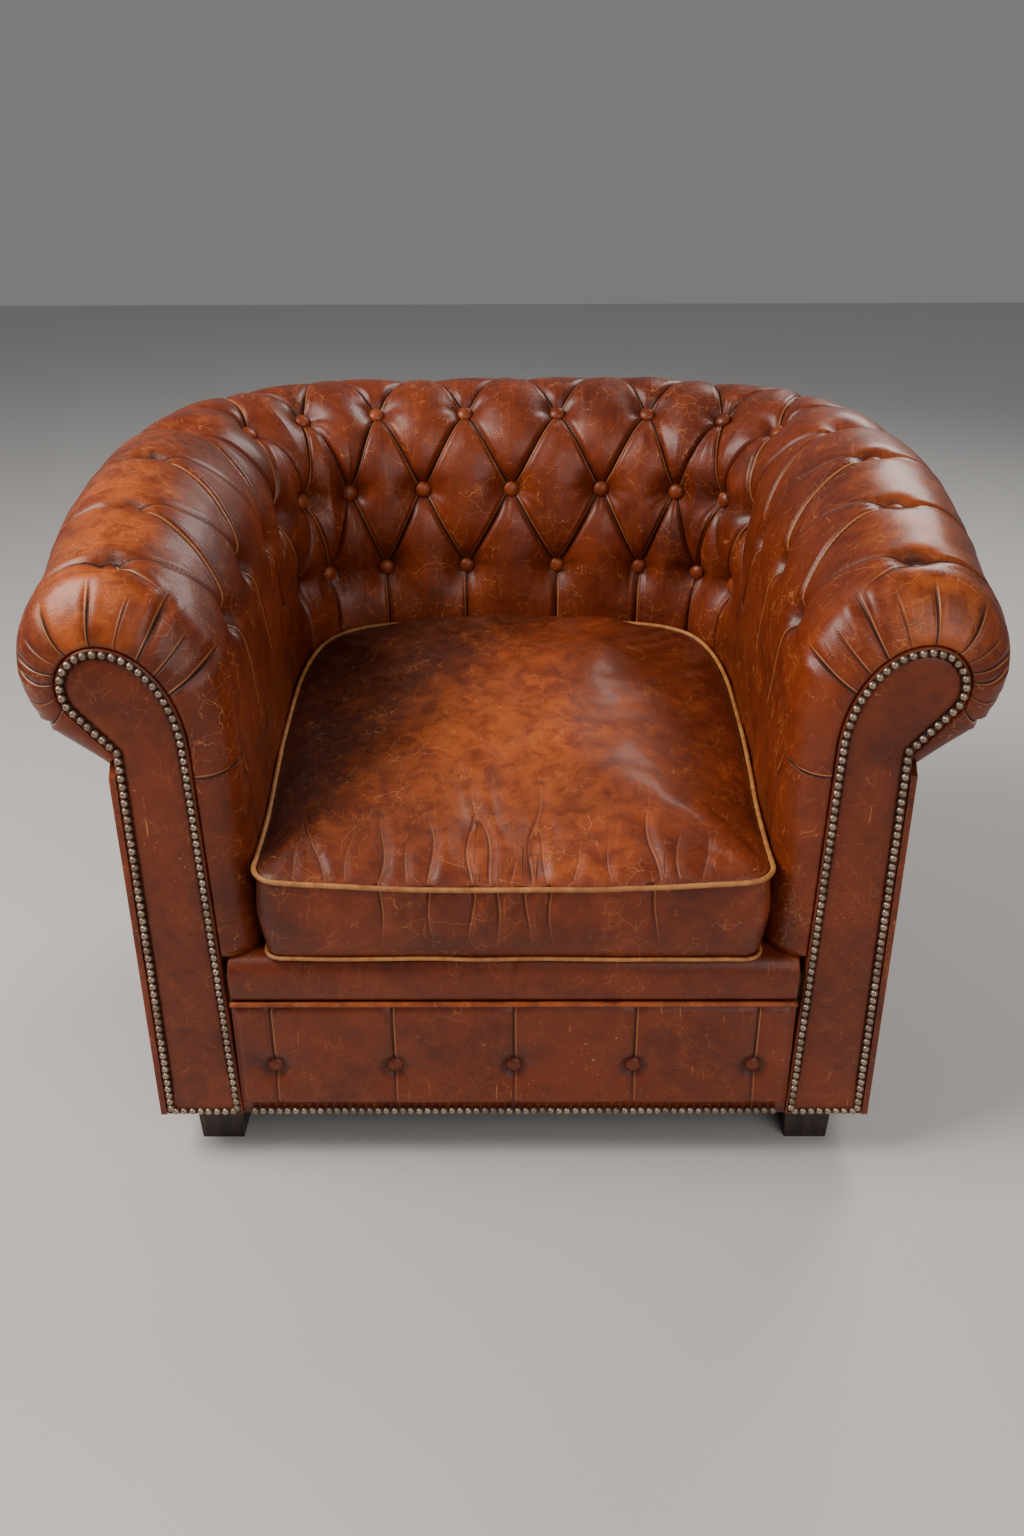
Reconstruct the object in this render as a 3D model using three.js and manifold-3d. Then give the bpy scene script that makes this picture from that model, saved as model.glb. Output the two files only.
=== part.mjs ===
// Worn leather club chair: buttoned tub back and rolled arms over a hardwood frame, loose seat cushion.
// Millimetres, +Z up, the sitter looks towards -Y, X runs from one arm to the other.
import * as THREE from "three";
import Module from "manifold-3d";
import { mergeVertices } from "three/addons/utils/BufferGeometryUtils.js";

// Plan of the tub: the centre line of the arm roll seen from above, from y = 0 at the arm fronts
const rollCentreX = 405;
const armFlare = 7;
const armStraight = 290;
const backRoundDepth = 409;
const backSquareness = 3.35;

// Heights
const rollCentreHeight = 597.6;
const backRise = 88;
const riseStart = 0.49;
const risePower = 2.55;
const upholsteryBottom = 63;
const deckTop = 283;
const footHeight = 61.9;

// Section of the padded arm and back, measured from the centre of the roll
const rollCoreRadius = 38;
const shoulderReach = 74.5;
const shoulderDrop = 109;
const padThickness = 45;
const padInnerLayer = 10;
const wallLean = 0.024;
const coreUndersideTurn = 38;
const padUndersideTurn = 52;
const neckInset = 9;
const neckDrop = 68;
const outsideReach = 6;
const rollSkirtDrop = 95;
const coreLevelSpare = 2;

// Buttoning
const buttonSpacesPerSide = 8;
const foldSteps = 4;
const upperRowOnBack = 67;
const upperRowOnArm = 9;
const middleRowOnBack = 190;
const middleRowOnArm = 155;
const lowerRow = 308;
const lowerRowButtonsPerSide = 4;
const upperDimple = 30;
const middleDimple = 33;
const lowerDimple = 28;
const foldDepth = 11;
const pleatDepth = 6;
const coverButtonRadius = 11;
const coverButtonHeight = 7;

// Rounded and gathered arm front
const curlDepth = 40;
const gatherDepth = 5;

// Leather facing of each arm front, with its nails
const facingThickness = 12;
const facingBevel = 2.5;
const nailInset = 6;
const nailPitch = 9.5;
const nailRadius = 4.6;
const nailHeight = 3.2;
const nailValleyHeight = 1;

// Front of the seat
const frontPadDepth = 20;
const frontPadProud = 2;
const frontPadTop = 218;
const frontPadEdgeSunk = 3;
const frontPleatDepth = 3.6;
const frontButtonCount = 5;
const frontButtonPitch = 135.5;
const frontButtonHeightAboveFloor = 132;
const frontButtonRadius = 10;
const frontButtonDepth = 6;
const lipProud = 7;
const lipPipingRadius = 3.5;

// Loose seat cushion
const cushionGap = 12;
const cushionBottomInset = 4;
const cushionOverhang = 15;
const cushionSeamLift = 4;
const cushionBoxHeight = 95;
const cushionCrownHeight = 38;
const cushionRearRise = 76;
const cushionRisePower = 1.2;
const cushionCornerRadius = 26;
const cushionBulge = 4;
const cushionSideStations = 11;
const cushionPipingRadius = 3;

// Hardwood frame, springs and covers below
const boardThickness = 25;
const frontRailTop = 247;
const baseRailHeight = 120;
const seatRailHeight = 40;
const uprightDepth = 16;
const rollRailWidth = 43;
const rollRailHeight = 28;
const rollRailInset = 29;
const cornerBlockLeg = 80;
const cornerBlockHeight = 60;
const springCount = 5;
const springSpacing = 105;
const springWidth = 46;
const springPitch = 58;
const springWire = 3.8;
const clothThickness = 1;
const dustCoverThickness = 1.5;
const footTopWidth = 55;
const footToeWidth = 49;
const frontFootSetback = 30;

// Clearances between pieces
const seatGap = 0.3;
const looseGap = 0.5;

const leather = new THREE.MeshStandardMaterial({ color: 0x6b2a12, roughness: 0.42, metalness: 0 });
const cushionLeather = new THREE.MeshStandardMaterial({ color: 0x7a2f12, roughness: 0.45, metalness: 0 });
const pipingLeather = new THREE.MeshStandardMaterial({ color: 0xa8642c, roughness: 0.5, metalness: 0 });
const brass = new THREE.MeshStandardMaterial({ color: 0x8a6f4d, roughness: 0.4, metalness: 0.9 });
const darkWood = new THREE.MeshStandardMaterial({ color: 0x1b120d, roughness: 0.45, metalness: 0 });
const frameWood = new THREE.MeshStandardMaterial({ color: 0xb08a5a, roughness: 0.8, metalness: 0 });
const springSteel = new THREE.MeshStandardMaterial({ color: 0x6d6f72, roughness: 0.4, metalness: 0.9 });
const hessian = new THREE.MeshStandardMaterial({ color: 0x9a8460, roughness: 0.95, metalness: 0 });
const blackCloth = new THREE.MeshStandardMaterial({ color: 0x15130f, roughness: 0.95, metalness: 0 });

const degree = Math.PI / 180;
const quarterTurn = Math.PI / 2;
const chair = new THREE.Group();

function add(name, geometry, material) {
  const mesh = new THREE.Mesh(geometry, material);
  mesh.name = name;
  chair.add(mesh);
  return mesh;
}

function smooth(edgeLow, edgeHigh, value) {
  return THREE.MathUtils.smoothstep(value, edgeLow, edgeHigh);
}

function mix(a, b, share) {
  return a + (b - a) * share;
}

// Roll centre line of the right half, evenly stepped from the middle of the back to the arm front
const planStepCount = 600;
const planPoints = [];
for (let i = 0; i <= planStepCount; i += 1) {
  const turn = (i / planStepCount) * 90 * degree;
  const x = (rollCentreX + armFlare) * Math.sin(turn) ** (2 / backSquareness);
  const y = armStraight + backRoundDepth * Math.cos(turn) ** (2 / backSquareness);
  planPoints.push(new THREE.Vector2(x, y));
}
for (let i = 1; i <= planStepCount; i += 1) {
  const y = armStraight * (1 - i / planStepCount);
  planPoints.push(new THREE.Vector2(rollCentreX + armFlare * smooth(curlDepth, armStraight, y), y));
}
const planLengths = [0];
for (let i = 1; i < planPoints.length; i += 1) {
  planLengths.push(planLengths[i - 1] + planPoints[i].distanceTo(planPoints[i - 1]));
}
const halfLength = planLengths[planLengths.length - 1];
const buttonSpacing = halfLength / buttonSpacesPerSide;

function spacesBack(distance) {
  return buttonSpacesPerSide - distance / buttonSpacing;
}

const coreLevelFrom = buttonSpacesPerSide - 1;
const coreLevelDepth = facingThickness + boardThickness + coreLevelSpare;

function planPoint(length) {
  let low = 0;
  let high = planLengths.length - 1;
  while (high - low > 1) {
    const middle = (low + high) >> 1;
    if (planLengths[middle] <= length) {
      low = middle;
    } else {
      high = middle;
    }
  }
  const share = (length - planLengths[low]) / (planLengths[high] - planLengths[low]);
  return planPoints[low].clone().lerp(planPoints[high], THREE.MathUtils.clamp(share, 0, 1));
}

// Place, outward direction and height of the roll centre at u button spacings from the middle of the back
function rollFrame(u) {
  const side = u < 0 ? -1 : 1;
  const length = Math.min(Math.abs(u) * buttonSpacing, halfLength);
  const here = planPoint(length);
  const ahead = planPoint(Math.min(length + 2, halfLength));
  const behind = planPoint(Math.max(length - 2, 0));
  const along = ahead.sub(behind).normalize();
  const outward = length < 0.01 ? new THREE.Vector2(0, 1) : new THREE.Vector2(-along.y, along.x);
  if (length > halfLength - curlDepth) {
    outward.set(1, 0);
  }
  const fall = THREE.MathUtils.clamp((length / halfLength - riseStart) / (1 - riseStart), 0, 1) ** risePower;
  const padZ = rollCentreHeight + backRise * (1 - fall);
  // The frame under the pad runs level behind the upright arm front
  const levelShare = smooth(coreLevelFrom, spacesBack(coreLevelDepth), Math.abs(u));
  return {
    x: side * here.x,
    y: here.y,
    outX: side * outward.x,
    outY: outward.y,
    z: padZ,
    coreZ: mix(padZ, rollCentreHeight, levelShare),
  };
}

// A point that lies out by n and up by z from the roll centre at u
function placed(u, n, z) {
  const frame = rollFrame(u);
  return new THREE.Vector3(frame.x + frame.outX * n, frame.y + frame.outY * n, frame.z + z);
}

// The same for the frame and the backing of the pad, which follow the core's own height
function placedCore(u, n, z) {
  const frame = rollFrame(u);
  return new THREE.Vector3(frame.x + frame.outX * n, frame.y + frame.outY * n, frame.coreZ + z);
}

// Outline of the arm core moved out by grow: wall 0 to 1, shoulder 1 to 2, roll 2 to 3, underside 3 to 4
const shoulderZ = rollCoreRadius - shoulderDrop;

function corePoint(w, grow, wallLength) {
  if (w <= 1) {
    const drop = (1 - w) * wallLength;
    return new THREE.Vector2(-shoulderReach - grow - wallLean * drop, shoulderZ - drop);
  }
  if (w <= 2) {
    const turn = (w - 1) * quarterTurn;
    const across = -(shoulderReach + grow) * Math.cos(turn);
    return new THREE.Vector2(across, shoulderZ + (shoulderDrop + grow) * Math.sin(turn));
  }
  const radius = rollCoreRadius + grow;
  if (w <= 3) {
    const turn = quarterTurn - (w - 2) * (quarterTurn + coreUndersideTurn * degree);
    return new THREE.Vector2(radius * Math.cos(turn), radius * Math.sin(turn));
  }
  const tipTurn = -coreUndersideTurn * degree;
  const tip = new THREE.Vector2(rollCoreRadius * Math.cos(tipTurn), rollCoreRadius * Math.sin(tipTurn));
  const neck = new THREE.Vector2(-neckInset, -neckDrop);
  const along = neck.clone().sub(tip).normalize();
  const start = tip.clone().add(new THREE.Vector2(-along.y, along.x).multiplyScalar(grow));
  const arcEnd = new THREE.Vector2(radius * Math.cos(tipTurn), radius * Math.sin(tipTurn));
  const reach = (-neckInset + grow - start.x) / along.x;
  const end = start.clone().addScaledVector(along, reach);
  return arcEnd.lerp(end, w - 3);
}

function padPoint(w, wallLength) {
  if (w <= 2) {
    return corePoint(w, padThickness, wallLength);
  }
  const radius = rollCoreRadius + padThickness;
  const turn = quarterTurn - Math.min(w - 2, 1) * (quarterTurn + padUndersideTurn * degree);
  const point = new THREE.Vector2(radius * Math.cos(turn), radius * Math.sin(turn));
  return w <= 3 ? point : point.lerp(new THREE.Vector2(outsideReach, -rollSkirtDrop), w - 3);
}

// Arc lengths over the pad, counted from the crest of the roll and positive towards the outside
const arcSteps = 90;
const arcTable = [];
let arcSoFar = 0;
for (let i = 0; i <= arcSteps; i += 1) {
  const w = 1 + (3 * i) / arcSteps;
  if (i > 0) {
    arcSoFar += padPoint(w, 1).distanceTo(padPoint(w - 3 / arcSteps, 1));
  }
  arcTable.push({ w, arc: arcSoFar });
}
const crestArc = arcTable[arcSteps / 3].arc;
const rollEndArc = arcTable[(2 * arcSteps) / 3].arc - crestArc;
const skirtEndArc = arcSoFar - crestArc;

function stationAt(arc, wallLength) {
  const wanted = arc + crestArc;
  if (wanted <= 0) {
    return Math.max(0, 1 + wanted / wallLength);
  }
  let i = 1;
  while (i < arcSteps && arcTable[i].arc < wanted) {
    i += 1;
  }
  const before = arcTable[i - 1];
  const after = arcTable[i];
  return mix(before.w, after.w, Math.min((wanted - before.arc) / (after.arc - before.arc), 1));
}

// Heights of the button rows, as arc lengths inwards from the crest
function rowArcs(u) {
  const towardsFront = Math.abs(u) / buttonSpacesPerSide;
  return {
    upper: -mix(upperRowOnBack, upperRowOnArm, smooth(0.43, 0.6, towardsFront)),
    middle: -mix(middleRowOnBack, middleRowOnArm, smooth(0.6, 0.82, towardsFront)),
    lower: -lowerRow,
  };
}

function wallLengthAt(u) {
  return rollFrame(u).z + shoulderZ - deckTop - seatGap;
}

function coreWallLengthAt(u) {
  return rollFrame(u).coreZ + shoulderZ - deckTop - seatGap;
}

// Depth of the leather below its smooth outline on a fold between two dimples
function foldLine(share, dimpleA, dimpleB) {
  const nearA = (1 - share) ** 4;
  const nearB = share ** 4;
  return foldDepth + (dimpleA - foldDepth) * nearA + (dimpleB - foldDepth) * nearB;
}

// Depth at u spacings round the tub and v rows up:
// 0 deck, 1 lower row, 2 middle row, 3 upper row, 4 end of the roll, 5 end of the skirt
function tuftDepth(u, v) {
  const side = Math.abs(u);
  const toUpper = Math.abs(side - Math.round(side));
  const fromHalf = 1 - 2 * toUpper;
  const frontFade = 1 - smooth(buttonSpacesPerSide - 0.5, buttonSpacesPerSide - 0.1, side);
  const lowerShare = 1 - smooth(lowerRowButtonsPerSide - 0.6, lowerRowButtonsPerSide + 0.4, side);
  const lowDimple = mix(pleatDepth, lowerDimple, lowerShare);
  if (v >= 3) {
    const away = Math.min((v - 3) / 1, 1);
    const dimple = mix(pleatDepth, upperDimple, (1 - away) ** 5) * (1 - smooth(4, 5, v));
    return dimple * (1 - fromHalf) ** 2.2;
  }
  if (v <= 1) {
    const dimple = mix(pleatDepth, lowDimple, v ** 4);
    return frontFade * dimple * (1 - fromHalf) ** 2.2;
  }
  const row = v >= 2 ? v - 2 : 2 - v;
  const lean = 2 * toUpper;
  const rowDimple = v >= 2 ? upperDimple : lowDimple;
  const inMiddleDiamond = row + (1 - lean) < 1;
  const p = inMiddleDiamond ? 1 - lean : lean;
  const q = inMiddleDiamond ? row : 1 - row;
  const ring = Math.max(p + q, 1e-6);
  const share = q / ring;
  const depth = inMiddleDiamond
    ? foldLine(share, middleDimple, rowDimple)
    : foldLine(share, rowDimple, middleDimple);
  return frontFade * depth * ring ** 2.2;
}

// Closed mesh helpers: a list of points, a list of triangles, faces turned outwards at the end
function solidFrom(points, triangles) {
  const positions = new Float32Array(points.flatMap((point) => [point.x, point.y, point.z]));
  const geometry = new THREE.BufferGeometry();
  geometry.setAttribute("position", new THREE.BufferAttribute(positions, 3));
  let volume = 0;
  triangles.forEach(([a, b, c]) => {
    volume += points[a].dot(points[b].clone().cross(points[c]));
  });
  const turned = volume < 0 ? triangles.map(([a, b, c]) => [a, c, b]) : triangles;
  geometry.setIndex(turned.flat());
  geometry.computeVertexNormals();
  return geometry;
}

// Strip of triangles between two rows of numbered points, each with its own count
function zip(triangles, rowA, rowB) {
  let a = 0;
  let b = 0;
  while (a < rowA.length - 1 || b < rowB.length - 1) {
    const nextA = (a + 1) / (rowA.length - 1);
    const nextB = (b + 1) / (rowB.length - 1);
    if (b >= rowB.length - 1 || (a < rowA.length - 1 && nextA <= nextB + 1e-9)) {
      triangles.push([rowA[a], rowB[b], rowA[a + 1]]);
      a += 1;
    } else {
      triangles.push([rowA[a], rowB[b], rowB[b + 1]]);
      b += 1;
    }
  }
}

// Loft through closed rings of equal count, with flat fans over the two ends unless the loft itself closes
function loft(rings, closed) {
  const points = rings.flat();
  const count = rings[0].length;
  const triangles = [];
  const spans = closed ? rings.length : rings.length - 1;
  for (let i = 0; i < spans; i += 1) {
    const next = (i + 1) % rings.length;
    for (let j = 0; j < count; j += 1) {
      const k = (j + 1) % count;
      triangles.push([i * count + j, next * count + j, i * count + k]);
      triangles.push([next * count + j, next * count + k, i * count + k]);
    }
  }
  if (!closed) {
    const ends = [[0, false], [(rings.length - 1) * count, true]];
    ends.forEach(([start, last]) => {
      for (let j = 1; j < count - 1; j += 1) {
        triangles.push(last ? [start, start + j + 1, start + j] : [start, start + j, start + j + 1]);
      }
    });
  }
  return solidFrom(points, triangles);
}

// Round bar of few sides along points that lie level or nearly so
function barAlong(path, radius, sides, closed) {
  const rings = path.map((point, i) => {
    const last = path.length - 1;
    const before = closed ? path[(i + last) % path.length] : path[Math.max(i - 1, 0)];
    const after = closed ? path[(i + 1) % path.length] : path[Math.min(i + 1, last)];
    const along = after.clone().sub(before).normalize();
    const across = new THREE.Vector3(0, 0, 1).cross(along).normalize();
    const upward = along.clone().cross(across);
    const into = point.clone().sub(before).normalize();
    const widen = into.lengthSq() > 0 ? 1 / Math.max(Math.abs(into.dot(along)), 0.6) : 1;
    const ring = [];
    const corner = radius / Math.cos((180 / sides) * degree);
    for (let s = 0; s < sides; s += 1) {
      const turn = ((s + 0.5) / sides) * 360 * degree;
      const out = across.clone().multiplyScalar(corner * widen * Math.cos(turn));
      ring.push(point.clone().add(out).addScaledVector(upward, corner * Math.sin(turn)));
    }
    return ring;
  });
  return loft(rings, closed);
}

// Stations at even shares of a button spacing, shared by all boards so that their faces lie parallel
const boardStep = 0.5;
const panelStep = 0.25;

function stationsBetween(from, to, step) {
  const stations = [from];
  for (let u = (Math.floor(from / step) + 1) * step; u < to - 1e-6; u += step) {
    if (u - stations[stations.length - 1] > 1e-6) {
      stations.push(u);
    }
  }
  stations.push(to);
  return stations;
}

// Curved board round the tub between two distances from the roll centre line, heights as functions of u
function tubBoard(from, to, inner, outer, bottomAt, topAt, step = boardStep) {
  const rings = stationsBetween(from, to, step).map((u) => {
    const frame = rollFrame(u);
    const corner = (n, z) => new THREE.Vector3(frame.x + frame.outX * n, frame.y + frame.outY * n, z);
    const bottom = bottomAt(u);
    const top = topAt(u);
    return [corner(inner, bottom), corner(outer, bottom), corner(outer, top), corner(inner, top)];
  });
  return loft(rings, false);
}

function level(height) {
  return () => height;
}

// Buttoned cover: the padded leather over arms and back, one piece from arm front to arm front
const lowRows = 2;
const rollRows = 6;

function coverRows() {
  const rows = [];
  for (let i = 0; i < lowRows; i += 1) {
    rows.push(i / lowRows);
  }
  for (let i = 0; i < 2 * foldSteps; i += 1) {
    rows.push(1 + i / foldSteps);
  }
  for (let i = 0; i <= rollRows; i += 1) {
    rows.push(3 + i / rollRows);
  }
  rows.push(5);
  return rows;
}

function arcAtRow(u, v) {
  const arcs = rowArcs(u);
  const deckArc = -crestArc - wallLengthAt(u);
  const stops = [deckArc, arcs.lower, arcs.middle, arcs.upper, rollEndArc, skirtEndArc];
  const cell = Math.min(Math.floor(v), stops.length - 2);
  return mix(stops[cell], stops[cell + 1], v - cell);
}

// Point of the leather at u, v: depth below the smooth outline, sunk by share towards the facing's edge
function coverPoint(u, v, sunk, extraDepth) {
  const wallLength = wallLengthAt(u);
  const w = stationAt(arcAtRow(u, v), wallLength);
  const outer = padPoint(w, wallLength);
  const step = 0.02;
  const ahead = padPoint(Math.min(w + step, 4), wallLength);
  const behind = padPoint(Math.max(w - step, 0), wallLength);
  const along = ahead.sub(behind).normalize();
  const depth = extraDepth + tuftDepth(u, v) * (1 - sunk);
  outer.addScaledVector(new THREE.Vector2(along.y, -along.x), depth);
  const core = corePoint(w, nailInset + looseGap, coreWallLengthAt(u));
  return placed(u, outer.x, outer.y).lerp(placedCore(u, core.x, core.y), sunk);
}

const curlTurns = [0, 28, 50, 70, 85];

function coverColumns() {
  const columns = [];
  const columnsPerSpace = 2 * foldSteps;
  const lastRegular = (buttonSpacesPerSide - 0.5) * columnsPerSpace;
  for (let i = 0; i <= lastRegular; i += 1) {
    columns.push({ u: i / columnsPerSpace, sunk: 0, gather: 0 });
  }
  curlTurns.forEach((turn) => {
    const back = curlDepth * (1 - Math.sin(turn * degree));
    const gather = gatherDepth * Math.sin(2 * turn * degree);
    columns.push({ u: spacesBack(back), sunk: 1 - Math.cos(turn * degree), gather });
  });
  columns.push({ u: spacesBack(facingBevel), sunk: 1, gather: 0 });
  columns.push({ u: spacesBack(facingThickness + seatGap), sunk: 1, gather: 0 });
  const mirrored = columns.slice(1).reverse().map((column) => ({ ...column, u: -column.u }));
  return [...mirrored, ...columns];
}

// Fans of triangles over the cut edge of both rounded fronts; returns the rest of the edge
const curlColumns = curlTurns.length + 1;

function closeCurls(triangles, edge, forward) {
  const last = edge.length - 1;
  const fan = (from, to, centre) => {
    for (let k = from; k < to; k += 1) {
      const pair = forward ? [edge[k], edge[k + 1]] : [edge[k + 1], edge[k]];
      triangles.push([...pair, edge[centre]]);
    }
  };
  fan(1, curlColumns, 0);
  fan(last - curlColumns, last - 1, last);
  return [edge[0], ...edge.slice(curlColumns, last - curlColumns + 1), edge[last]];
}

const backingStations = [0, 0.5, 1, 1.25, 1.5, 1.75, 2, 2.5, 3, 4];

function coverShell() {
  const points = [];
  const triangles = [];
  const rows = coverRows();
  const columns = coverColumns();
  const grid = columns.map((column) => rows.map((v, j) => {
    const gathered = j % 2 === 0 && v < 5 ? column.gather : 0;
    points.push(coverPoint(column.u, v, column.sunk, gathered));
    return points.length - 1;
  }));
  for (let i = 0; i < columns.length - 1; i += 1) {
    for (let j = 0; j < rows.length - 1; j += 1) {
      const half = Math.floor((columns[i].u + columns[i + 1].u) + 1000);
      const band = Math.floor((rows[j] + rows[j + 1]) / 2);
      const rising = (half + band) % 2 === 0;
      const [a, b, c, d] = [grid[i][j], grid[i + 1][j], grid[i + 1][j + 1], grid[i][j + 1]];
      if (rising) {
        triangles.push([a, b, c], [a, c, d]);
      } else {
        triangles.push([a, b, d], [b, c, d]);
      }
    }
  }
  // The backing of the pad, in wider steps
  const backingEnd = spacesBack(facingThickness + seatGap);
  const backingLevel = spacesBack(coreLevelDepth);
  const backingColumns = [-backingEnd, -backingLevel];
  for (let u = -buttonSpacesPerSide + 0.5; u <= buttonSpacesPerSide - 0.5; u += 0.5) {
    backingColumns.push(u);
  }
  backingColumns.push(backingLevel, backingEnd);
  const backing = backingColumns.map((u) => backingStations.map((w) => {
    const point = corePoint(w, -padInnerLayer, coreWallLengthAt(u));
    points.push(placedCore(u, point.x, point.y));
    return points.length - 1;
  }));
  for (let i = 0; i < backing.length - 1; i += 1) {
    for (let j = 0; j < backingStations.length - 1; j += 1) {
      const [a, b, c, d] = [backing[i][j], backing[i + 1][j], backing[i + 1][j + 1], backing[i][j + 1]];
      triangles.push([a, c, b], [a, d, c]);
    }
  }
  const lastRow = rows.length - 1;
  const lastStation = backingStations.length - 1;
  const bottomEdge = closeCurls(triangles, grid.map((column) => column[0]), false);
  const skirtEdge = closeCurls(triangles, grid.map((column) => column[lastRow]), true);
  zip(triangles, bottomEdge, backing.map((column) => column[0]));
  zip(triangles, backing.map((column) => column[lastStation]), skirtEdge);
  zip(triangles, backing[0], grid[0]);
  zip(triangles, grid[grid.length - 1], backing[backing.length - 1]);
  return solidFrom(points, triangles);
}

function buttonProfile(radius, height, sides, below) {
  const profile = [
    new THREE.Vector2(0, -below),
    new THREE.Vector2(radius, -below),
    new THREE.Vector2(radius * 0.75, height * 0.75),
    new THREE.Vector2(0, height),
  ];
  return new THREE.LatheGeometry(profile, sides);
}

function buttonPlaces() {
  const places = [];
  for (let i = 0; i < buttonSpacesPerSide; i += 1) {
    [-1, 1].forEach((side) => {
      places.push({ u: side * (i + 0.5), v: 3 });
      if (i < lowerRowButtonsPerSide) {
        places.push({ u: side * (i + 0.5), v: 1 });
      }
      if (i > 0) {
        places.push({ u: side * i, v: 2 });
      }
    });
  }
  places.push({ u: 0, v: 2 });
  return places;
}

const wasm = await Module();
wasm.setup();

function toManifold(geometry) {
  const bare = geometry.clone();
  bare.deleteAttribute("normal");
  bare.deleteAttribute("uv");
  const merged = mergeVertices(bare, 1e-3);
  const vertProperties = new Float32Array(merged.attributes.position.array);
  const triVerts = new Uint32Array(merged.index.array);
  return new wasm.Manifold(new wasm.Mesh({ numProp: 3, vertProperties, triVerts }));
}

function fromManifold(solid) {
  const mesh = solid.getMesh();
  const geometry = new THREE.BufferGeometry();
  geometry.setAttribute("position", new THREE.BufferAttribute(new Float32Array(mesh.vertProperties), 3));
  geometry.setIndex(Array.from(mesh.triVerts));
  geometry.computeVertexNormals();
  return geometry;
}

function buttonedCover() {
  let solid = toManifold(coverShell());
  buttonPlaces().forEach(({ u, v }) => {
    const reach = 0.1;
    const seat = coverPoint(u, v, 0, 0);
    const across = coverPoint(u + reach, v, 0, 0).sub(coverPoint(u - reach, v, 0, 0));
    const upwards = coverPoint(u, v + reach, 0, 0).sub(coverPoint(u, v - reach, 0, 0));
    const outward = across.cross(upwards).normalize();
    const button = buttonProfile(coverButtonRadius, coverButtonHeight, 6, coverButtonHeight * 0.4);
    const turn = new THREE.Quaternion().setFromUnitVectors(new THREE.Vector3(0, 1, 0), outward);
    button.applyQuaternion(turn).translate(seat.x, seat.y, seat.z);
    solid = solid.add(toManifold(button));
  });
  return fromManifold(solid);
}

add("buttoned_cover", buttonedCover(), leather);

// Facing, front post and nails share the outline of the arm core, and its corners with the pad round them
function padStations(bottom) {
  const wallLength = rollCentreHeight + shoulderZ - bottom;
  const padWall = wallLengthAt(buttonSpacesPerSide);
  const stations = [0];
  coverRows().slice(1).forEach((v) => {
    const w = stationAt(arcAtRow(buttonSpacesPerSide, v), padWall);
    stations.push(w < 1 ? 1 - ((1 - w) * padWall) / wallLength : w);
  });
  return stations;
}

function armOutline(grow, bottom, stations) {
  const wallLength = rollCentreHeight + shoulderZ - bottom;
  const outline = stations.map((w) => corePoint(w, grow, wallLength));
  outline.push(new THREE.Vector2(grow - neckInset, bottom - rollCentreHeight));
  return outline;
}

function armBoard(grow, bottom, stations, front, thickness, bevel, side) {
  const outline = armOutline(grow - bevel, bottom + bevel, stations);
  const shape = new THREE.Shape(outline.map((point) => new THREE.Vector2(side * point.x, point.y)));
  const geometry = new THREE.ExtrudeGeometry(shape, {
    depth: thickness - bevel,
    bevelEnabled: bevel > 0,
    bevelThickness: bevel,
    bevelSize: bevel,
    bevelSegments: 1,
    curveSegments: 1,
  });
  geometry.rotateX(90 * degree);
  geometry.translate(side * rollCentreX, front + thickness, rollCentreHeight);
  return geometry;
}

function facing(side) {
  // The leather-covered front face is rounded over, the back is cut flat against the pad
  const stations = padStations(upholsteryBottom);
  const board = armBoard(nailInset, upholsteryBottom, stations, 0, facingThickness, facingBevel, side);
  const whole = toManifold(board);
  const size = 4 * rollCentreX;
  const behind = new THREE.BoxGeometry(size, size, size);
  behind.translate(0, facingThickness + size / 2, rollCentreHeight);
  return fromManifold(whole.subtract(toManifold(behind)));
}

const sideNames = [["left", -1], ["right", 1]];
sideNames.forEach(([name, side]) => {
  add(`facing_${name}`, facing(side), leather);
});

// Row of touching nail heads on one strip: points along the row, heads raised towards -Y
function nailStrip(route) {
  const curve = new THREE.CurvePath();
  for (let i = 1; i < route.length; i += 1) {
    curve.add(new THREE.LineCurve(route[i - 1], route[i]));
  }
  const count = Math.max(2, Math.round(curve.getLength() / nailPitch));
  const points = [];
  const triangles = [];
  const surface = -seatGap;
  const placeAt = (share, across, height) => {
    const point = curve.getPointAt(share);
    const ahead = curve.getPointAt(Math.min(share + 0.004, 1));
    const along = ahead.sub(curve.getPointAt(Math.max(share - 0.004, 0))).normalize();
    points.push(new THREE.Vector3(point.x - along.y * across, surface - height, point.y + along.x * across));
    return points.length - 1;
  };
  const start = placeAt(0, 0, 0);
  let before = null;
  for (let i = 0; i < count; i += 1) {
    const share = (i + 0.5) / count;
    const left = placeAt(share, nailRadius, 0);
    const top = placeAt(share, 0, nailHeight);
    const right = placeAt(share, -nailRadius, 0);
    if (before) {
      triangles.push([before.left, before.top, before.valley], [before.left, before.valley, left]);
      triangles.push([left, before.valley, top], [before.right, before.valley, before.top]);
      triangles.push([before.right, right, before.valley], [right, top, before.valley]);
      triangles.push([before.left, left, before.right], [before.right, left, right]);
    } else {
      triangles.push([top, left, start], [left, right, start], [right, top, start]);
    }
    const valley = i < count - 1 ? placeAt((i + 1) / count, 0, nailValleyHeight) : top;
    before = { left, top, right, valley };
  }
  const end = placeAt(1, 0, 0);
  triangles.push([before.left, before.top, end], [before.right, before.left, end]);
  triangles.push([before.top, before.right, end]);
  return solidFrom(points, triangles);
}

function facingNailRoute(side) {
  const bottom = upholsteryBottom + nailInset;
  const line = armOutline(0, bottom, padStations(bottom));
  return line.map((point) => new THREE.Vector2(side * (rollCentreX + point.x), rollCentreHeight + point.y));
}

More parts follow.
